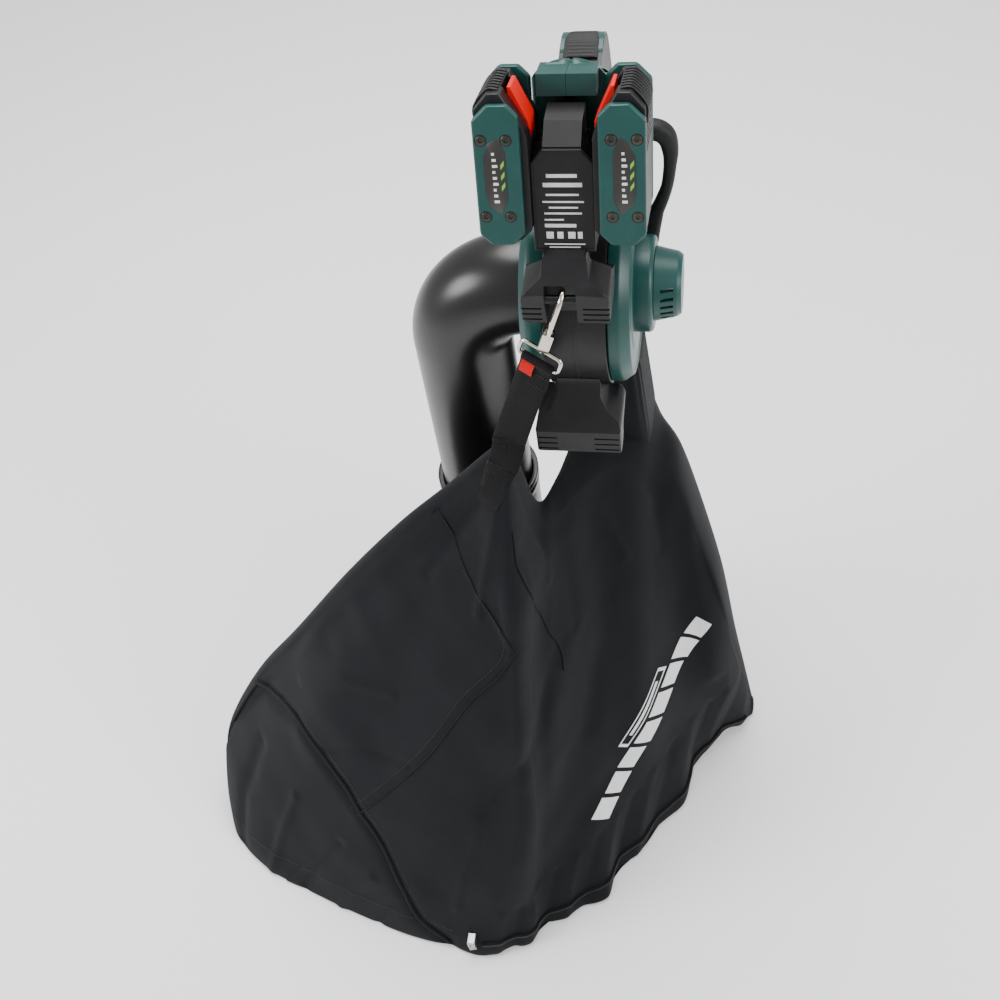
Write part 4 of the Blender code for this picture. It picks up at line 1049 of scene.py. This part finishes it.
def neck_sleeve():
    """A rounded rectangle per level, a cos^n and b sin^n with n = NECK_SQUARE, with gathers of
    0.7 sin(17 a) that grow upwards, a band that stands out and a groove under it."""
    level = np.linspace(0, 1, 40)[:, None]
    angle = np.linspace(0, 2 * pi, 240, endpoint=False)[None]
    (x0, y0), (x1, y1), z0 = (np.array(v, float) for v in NECK_LOW)
    (u0, v0), (u1, v1), z1 = (np.array(v, float) for v in NECK_HIGH)
    low_x, high_x, low_y, high_y = (a + (b - a) * level
                                    for a, b in ((x0, u0), (x1, u1), (y0, v0), (y1, v1)))
    gather = 0.7 * np.sin(17 * angle + 1.9 * np.sin(3 * angle)) * level ** 0.7
    band = 1.5 * np.exp(-((level - 0.93) / 0.05) ** 2) - 1.6 * np.exp(-((level - 0.83) / 0.03) ** 2)
    reach_x = (high_x - low_x) / 2 + gather + band
    reach_y = (high_y - low_y) / 2 + gather + band
    c, s = (np.sign(f) * np.abs(f) ** NECK_SQUARE for f in (np.cos(angle), np.sin(angle)))
    x, y = (low_x + high_x) / 2 + reach_x * c, (low_y + high_y) / 2 + reach_y * s
    outer = np.stack([x, y, z0 + (z1 - z0) * level + 0 * angle], -1)
    inner = outer[::-1].copy()
    middle = inner[..., :2].mean(axis=1, keepdims=True)
    inner[..., :2] = middle + (inner[..., :2] - middle) * NECK_INSIDE
    return shell("neck", at_floor(np.concatenate([outer, inner])), True)


sleeve = piece("bag_neck_sleeve", neck_sleeve(), bag_cloth, crease=75)

# %% Seams, piping and stitches
def cord_line(path, radius, sides=10):
    """A thin round line along any path, with a frame that leans on the Y axis."""
    path = np.asarray(path, float)
    tangent = unit(np.gradient(path, axis=0))
    side = unit(np.cross(tangent, (0.0, 1.0, 0.15)))
    other = np.cross(tangent, side)
    angle = np.linspace(0, 2 * pi, sides, endpoint=False)[None, :, None]
    points = path[:, None] + radius * (side[:, None] * np.cos(angle) + other[:, None] * np.sin(angle))
    return shell("line", at_floor(capped(points)))


RIDGE_SEAM = [(-66, 512), (-64, 470), (-54, 380), (-37, 327), (-34, 300)]
seams = [cord_line(on_front(PIPING, 1.6), 2.2), cord_line(on_front(FLAP_EDGE[:-1], 1.0, 6), 0.8),
         cord_line(on_front(RIDGE_SEAM, 0.8), 0.9)]
piece("bag_piping", joined("piping", seams), bag_cloth, crease=75)
print("seams", len(seams))


def seam_stitches(line, lift, pitch=5.0):
    """A row of stitches along a line on the front wall, each turned to the place 1 mm further on."""
    path = on_front(line, lift, 24)
    spot, ahead = (points_at(path, 2.0, pitch, further) for further in (0.0, 1.0))
    return stitches(at_floor(spot), ahead - spot + 1e-6, 3.4, 0.45)


# %% The strap's sewn end, laid on the bag's corner
def sewn_end():
    """A tapering strip from the strap's end on to the wall. Its cross line turns from the strap's to
    the wall's own, which is the slope between two places 12 mm apart."""
    wall = on_front([(-69, 576), (-77, 556), (-86, 534)], 2.0, 6)
    path = smooth_path([(-64.0, -125.6, 598.0), (-64.6, -127.5, 590.0), *wall], 3)
    share = np.linspace(0, 1, len(path))[:, None]
    low, high = (on_front([(x, 572), (x - 12, 540)], 2.0, 1)[1] for x in (-94.0, -82.0))
    along_wall = unit(high - low)
    across = (1 - share) * HOOK_ACROSS + share * along_wall
    tangent = unit(np.gradient(path, axis=0))
    across = unit(across - tangent * (across * tangent).sum(axis=1, keepdims=True))
    half = (STRAP_HALF - 3.0 * share)[..., None]
    rows = ribbon(path, across, half, STRAP_THICK)
    return shell("sewn_end", at_floor(capped(rows))), float(steps_of(path).sum()) * MM


sewn_shape, sewn_length = sewn_end()
sewn = piece("strap_sewn_end", sewn_shape, webbing, crease=70)
print("sewn end", round(sewn_length, 4), "m long")

# %% Rows of stitches on the bag
flap_row = [(x - 7, z + 5) for x, z in FLAP_EDGE[1:-1]]
base_row = [(x, 34 - 8 * ((x + 300) / 150) ** 2) for x in range(-455, -140, 20)]
piping_row = [(x + 9, z + 6) for x, z in PIPING[1:-1]]
bag_rows = [seam_stitches(row, 0.3) for row in (flap_row, piping_row, base_row)]
piece("bag_stitches", joined("bag_rows", bag_rows), thread, crease=60)
print("rows of stitches", len(bag_rows))

# %% [markdown]
# ### Zip
#
# A coil zip closes the hem. Its tape waves with the cloth, its teeth are a row of small nylon blocks, and
# the slider stands at the near end with its pull hanging from it.

# %% Zip tape and teeth
ZIP_Z, TOOTH_PITCH = 20.0, 2.6


def zip_line(lift):
    """The zip's line along the hem, lifted from the wall."""
    x = np.linspace(-121, 168, 150)
    return front(x, share_at(x, ZIP_Z), lift)


piece("zip_tape_finished", cord_line(zip_line(1.0), 2.0), webbing,
      replaces=("zip_tape",), crease=60)
tooth = points_at(zip_line(3.1), 1.0, TOOTH_PITCH)
piece("zip_teeth", stitches(at_floor(tooth), (0.0, 0.0, 1.0), 4.2, 0.9), black,
      crease=50)
print("zip teeth", len(tooth))

# %% [markdown]
# ## Screws, stickers and panels
#
# Small things tell the eye how big a machine is. Each battery plate is held by four bronzed screws with a
# six-lobed recess, and carries a dark sticker with plain bars. The rail tower's front panel has a raised
# border and rows of bars where a maker would print its rating. No lettering is used.

# %% Flat shapes in the pack frame
SLAB_BEVEL = (0.35, 0.15)


def pack_rows(rings):
    """Outlines of (x, w), each at its own depth, as rows of points in the model."""
    return at_pack(np.stack([np.stack([r[:, 0], 0 * r[:, 0] + v, r[:, 1]], -1) for r, v in rings]))


def slab(outline, near, far):
    """An outline of (x, w) given thickness between two depths, with its near rim bevelled."""
    outline = np.asarray(outline, float)
    middle = outline.mean(axis=0)
    inset = middle + (outline - middle) * (1 - SLAB_BEVEL[0] / np.abs(outline - middle).max())
    point = middle + 0 * outline
    rings = [(point, far), (outline, far), (outline, near + SLAB_BEVEL[1]), (inset, near),
             (point, near)]
    return shell("slab", pack_rows(rings), within=1e-7)


def slabs(name, outlines, near, far):
    """Several slabs between the same two depths, as one mesh."""
    return joined(name, [slab(outline, near, far) for outline in outlines])


def rectangle(x0, w0, x1, w1):
    return [(x0, w0), (x1, w0), (x1, w1), (x0, w1)]


def circle(x, w, radius, steps):
    """A ring of (x, w) points. The radius may be one number or one per point."""
    angle = np.linspace(0, 2 * pi, steps, endpoint=False)
    return np.stack([x + radius * np.cos(angle), w + radius * np.sin(angle)], -1)


def screw(x, w, face):
    """A domed head with a six-lobed recess: the recess radius is 1.5 + 0.35 cos(6 a)."""
    lobe = 1.5 + 0.35 * np.cos(6 * np.linspace(0, 2 * pi, 48, endpoint=False))
    rims = [(0.0, 0.3), (3.9, 0.3), (3.9, -0.25), (3.4, -0.6), (2.6, -0.75), (lobe, -0.75),
            (lobe, 0.25), (0.0, 0.25)]
    rings = [(circle(x, w, radius, 48), face + depth) for radius, depth in rims]
    return shell("screw", pack_rows(rings), within=1e-7)


def screw_rim(x, w, face):
    """The raised lip round a screw, open at the back."""
    rims = [(5.0, 0.0), (4.4, 0.16), (3.8, 0.1)]
    rings = [(circle(x, w, radius, 32), face - lift) for radius, lift in rims]
    return grid_mesh("cup", pack_rows(rings), False, True)


SCREW_PLACES = [(x, w) for x in (41.4, 61.6) for w in (0.0, 64.3)]
STICKER_MIDDLE = (41.4 + 61.6) / 2
SCREW_FACE, RIM_FACE = -0.1, -0.04
STICKER = [(-3, 0), (7, 8), (9, 20), (9, 48), (4, 60), (-4, 64), (-9, 52), (-9, 12)]
STICKER_DEPTHS, INK_DEPTHS = (-0.3, 0.05), (-0.42, -0.2)
for side, sign in (("left", -1), ("right", 1)):
    body = "battery_" + side
    heads = [screw(sign * x, w, SCREW_FACE) for x, w in SCREW_PLACES]
    piece(side + "_plate_screws", joined("screws", heads), bronze, body, crease=40)
    rims = [screw_rim(sign * x, w, RIM_FACE) for x, w in SCREW_PLACES]
    piece(side + "_screw_rims", joined("rims", rims), black, body, crease=40)
    middle = sign * STICKER_MIDDLE
    sticker = [(middle + sign * x, w + 2) for x, w in STICKER]
    piece(side + "_sticker", slab(sticker, *STICKER_DEPTHS), label_dark, body)
    bars = [rectangle(middle - 2.2, 12 + 5 * i, middle + 2.2 - (i % 3), 14.4 + 5 * i)
            for i in range(9)]
    piece(side + "_sticker_bars", slabs("bars", bars, *INK_DEPTHS), label_ink,
          body)
    chevrons = [[(middle + 4.5, 22 + 9 * i), (middle + 7.5, 26 + 9 * i), (middle + 7.5, 30 + 9 * i),
                 (middle + 4.5, 26 + 9 * i)] for i in range(3)]
    piece(side + "_sticker_chevrons", slabs("chevrons", chevrons, *INK_DEPTHS), lime_ink,
          body)
print("screws", 2 * len(SCREW_PLACES))

# %% Ribs over the packs' top corners
CORNER = ((48.0, 99.3), (57.2, 99.2), (68.0, 86.2), (67.9, 72.0))
RIB_FIRST, RIB_PITCH, RIB_COUNT = 16.5, 6.2, 8


def corner_rib(sign, depth):
    """A rounded bar that runs over the case's top corner at one depth."""
    path = smooth_path([(sign * x, depth, w) for x, w in CORNER], 5)
    return shell("rib", at_pack(capped(sweep(path, (0.0, 1.0, 0.0), 0.9, 1.5, 12, 0.6))))


for side, sign in (("left", -1), ("right", 1)):
    ribs = [corner_rib(sign, RIB_FIRST + RIB_PITCH * i) for i in range(RIB_COUNT)]
    piece(side + "_case_ribs", joined("ribs", ribs), black, "battery_" + side,
          crease=50)
print("ribs", 2 * RIB_COUNT)

# %% Seam down the fan housing, between the feet
SCROLL_START, SCROLL_SMALL, SCROLL_LARGE = -62.0, 91.0, 101.0


def housing_seam():
    """A low ridge on the scroll: its radius grows evenly from small to large over the scroll's turn."""
    degrees = np.linspace(-147, -216, 40)
    share = (SCROLL_START - degrees) / (360 + SCROLL_START)
    radius = SCROLL_SMALL + (SCROLL_LARGE - SCROLL_SMALL) * share
    angle = np.radians(degrees)
    path = np.stack([1.0 + 0 * angle, radius * np.cos(angle), radius * np.sin(angle)], -1)
    return shell("seam", at_motor(capped(sweep(path, (1.0, 0.0, 0.0), 0.6, 1.1, 12, 0.7))))


seam = piece("housing_seam", housing_seam(), black, crease=50)
print("housing seam faces", len(seam.data.polygons))

# %% Rubber inlay of the main handle
HANDLE_BACK = [(76.0, 188.6), (84.0, 190.0), (100.0, 192.0), (118.0, 185.0), (131.0, 169.0),
               (141.0, 140.0), (153.0, 90.0)]
INSIDE_HANDLE, INLAY_HALF, INLAY_PITCH = np.array((0.0, 60.0, 60.0)), 15.0, 4.0


def handle_inlay():
    """A strip along the handle's back that stands 2.2 mm out, with a rib of 0.8 |sin| every 4 mm."""
    path = smooth_path([(0.0, y, z) for y, z in HANDLE_BACK], 40)
    out = np.cross(unit(np.gradient(path, axis=0)), (1.0, 0.0, 0.0))
    out *= np.sign((out * (path - INSIDE_HANDLE)).sum(axis=1, keepdims=True))
    gone = np.concatenate([[0], np.cumsum(steps_of(path))])
    across = np.linspace(-1, 1, 25)
    crown = 1 - np.abs(across) ** 6
    lift = 1.6 + crown[None] * (0.6 + 0.8 * np.abs(np.sin(pi * gone / INLAY_PITCH))[:, None])
    rows = path[:, None] + out[:, None] * lift[..., None]
    rows[..., 0] = INLAY_HALF * across[None]
    under = rows[:, ::-1] - out[:, None] * (lift[:, ::-1, None] - 1.0)
    return shell("inlay", at_motor(capped(np.concatenate([rows, under], axis=1))))


inlay = piece("handle_inlay", handle_inlay(), grip, crease=60)
print("inlay faces", len(inlay.data.polygons))

# %% Border and generic bars of the front panel
PANEL_FACE = 13.2


def frame_outline(points, width, near, far):
    """A closed border: the outline and a copy moved inwards, joined on both faces."""
    outer = np.asarray(points, float)
    centre = outer.mean(axis=0)
    inner = centre + (outer - centre) * (1 - width / np.abs(outer - centre).max(axis=0))
    rings = [(outer, far), (outer, near), (inner, near), (inner, far)]
    return shell("border", pack_rows(rings), True)


panel_outline = [(-24.6, -35.5), (24.6, -35.5), (24.6, 39.6), (15.6, 50.0), (-15.6, 50.0),
                 (-24.6, 39.6)]
border = frame_outline(panel_outline, 1.5, PANEL_FACE - 0.7, PANEL_FACE + 0.2)
piece("panel_border", border, black)
rows_of_bars = [(-13, 12, 28, 31), (-16, 16, 20, 23.6), (-14, 13, 12.5, 14.2), (-17, 17, 6.5, 8),
                (-12, 12, 1.5, 3), (-16, 15, -3.5, -2), (-16, 0, -9, -7.6),
                (-17, 17, -30.5, -29.4), (-13, 13, -33.2, -32.2)]
marks = [rectangle(x0, w0, x1, w1) for x0, x1, w0, w1 in rows_of_bars]
marks += [rectangle(-16, -15, 10, -12), rectangle(-15, -25, -9, -19), rectangle(-6, -25, -1, -19),
          rectangle(3, -25, 9, -19), rectangle(11, -25, 15, -19)]
piece("panel_bars", slabs("bars", marks, PANEL_FACE - 0.16, PANEL_FACE + 0.1), label_ink)
print("panel marks", len(marks))

# %% [markdown]
# ## Print on the bag
#
# The bag carries a plain slanted mark: a row of white blocks and a small frame beside it. Each is a patch
# of the wall itself, lifted by less than half a millimetre, so it follows every fold.

# %% Slanted bars printed on the bag
PRINT_LOW, PRINT_HIGH = np.array((4.0, 96.0)), np.array((118.0, 232.0))


def printed_bar(start, end, half_low, half_high):
    """The patch between two distances along the mark's slanted axis and two distances across it."""
    axis = PRINT_HIGH - PRINT_LOW
    side = unit(np.array((axis[1], -axis[0])))
    t = np.linspace(start, end, 26)[:, None]
    across = np.linspace(half_low, half_high, 8)[None]
    x = PRINT_LOW[0] + axis[0] * t + side[0] * across
    z = PRINT_LOW[1] + axis[1] * t + side[1] * across
    share = np.clip(share_at(x, z), 0, 1)
    rows = np.concatenate([front(x, share, 0.45), front(x, share, 0.05)[::-1]])
    return shell("print", at_floor(rows), True, False)


blocks = [(0.01 + 0.123 * i, 0.112 + 0.123 * i, -9 + (i % 2), 14 - (i % 3)) for i in range(8)]
small_frame = [(0.36, 0.72, -25.4, -24), (0.36, 0.72, -14.4, -13), (0.36, 0.375, -24, -14.4),
               (0.705, 0.72, -24, -14.4), (0.42, 0.66, -21, -17.4)]
patches = [printed_bar(*bar) for bar in blocks + small_frame]
piece("bag_print", joined("prints", patches), print_ink, crease=75)
print("printed patches", len(patches))
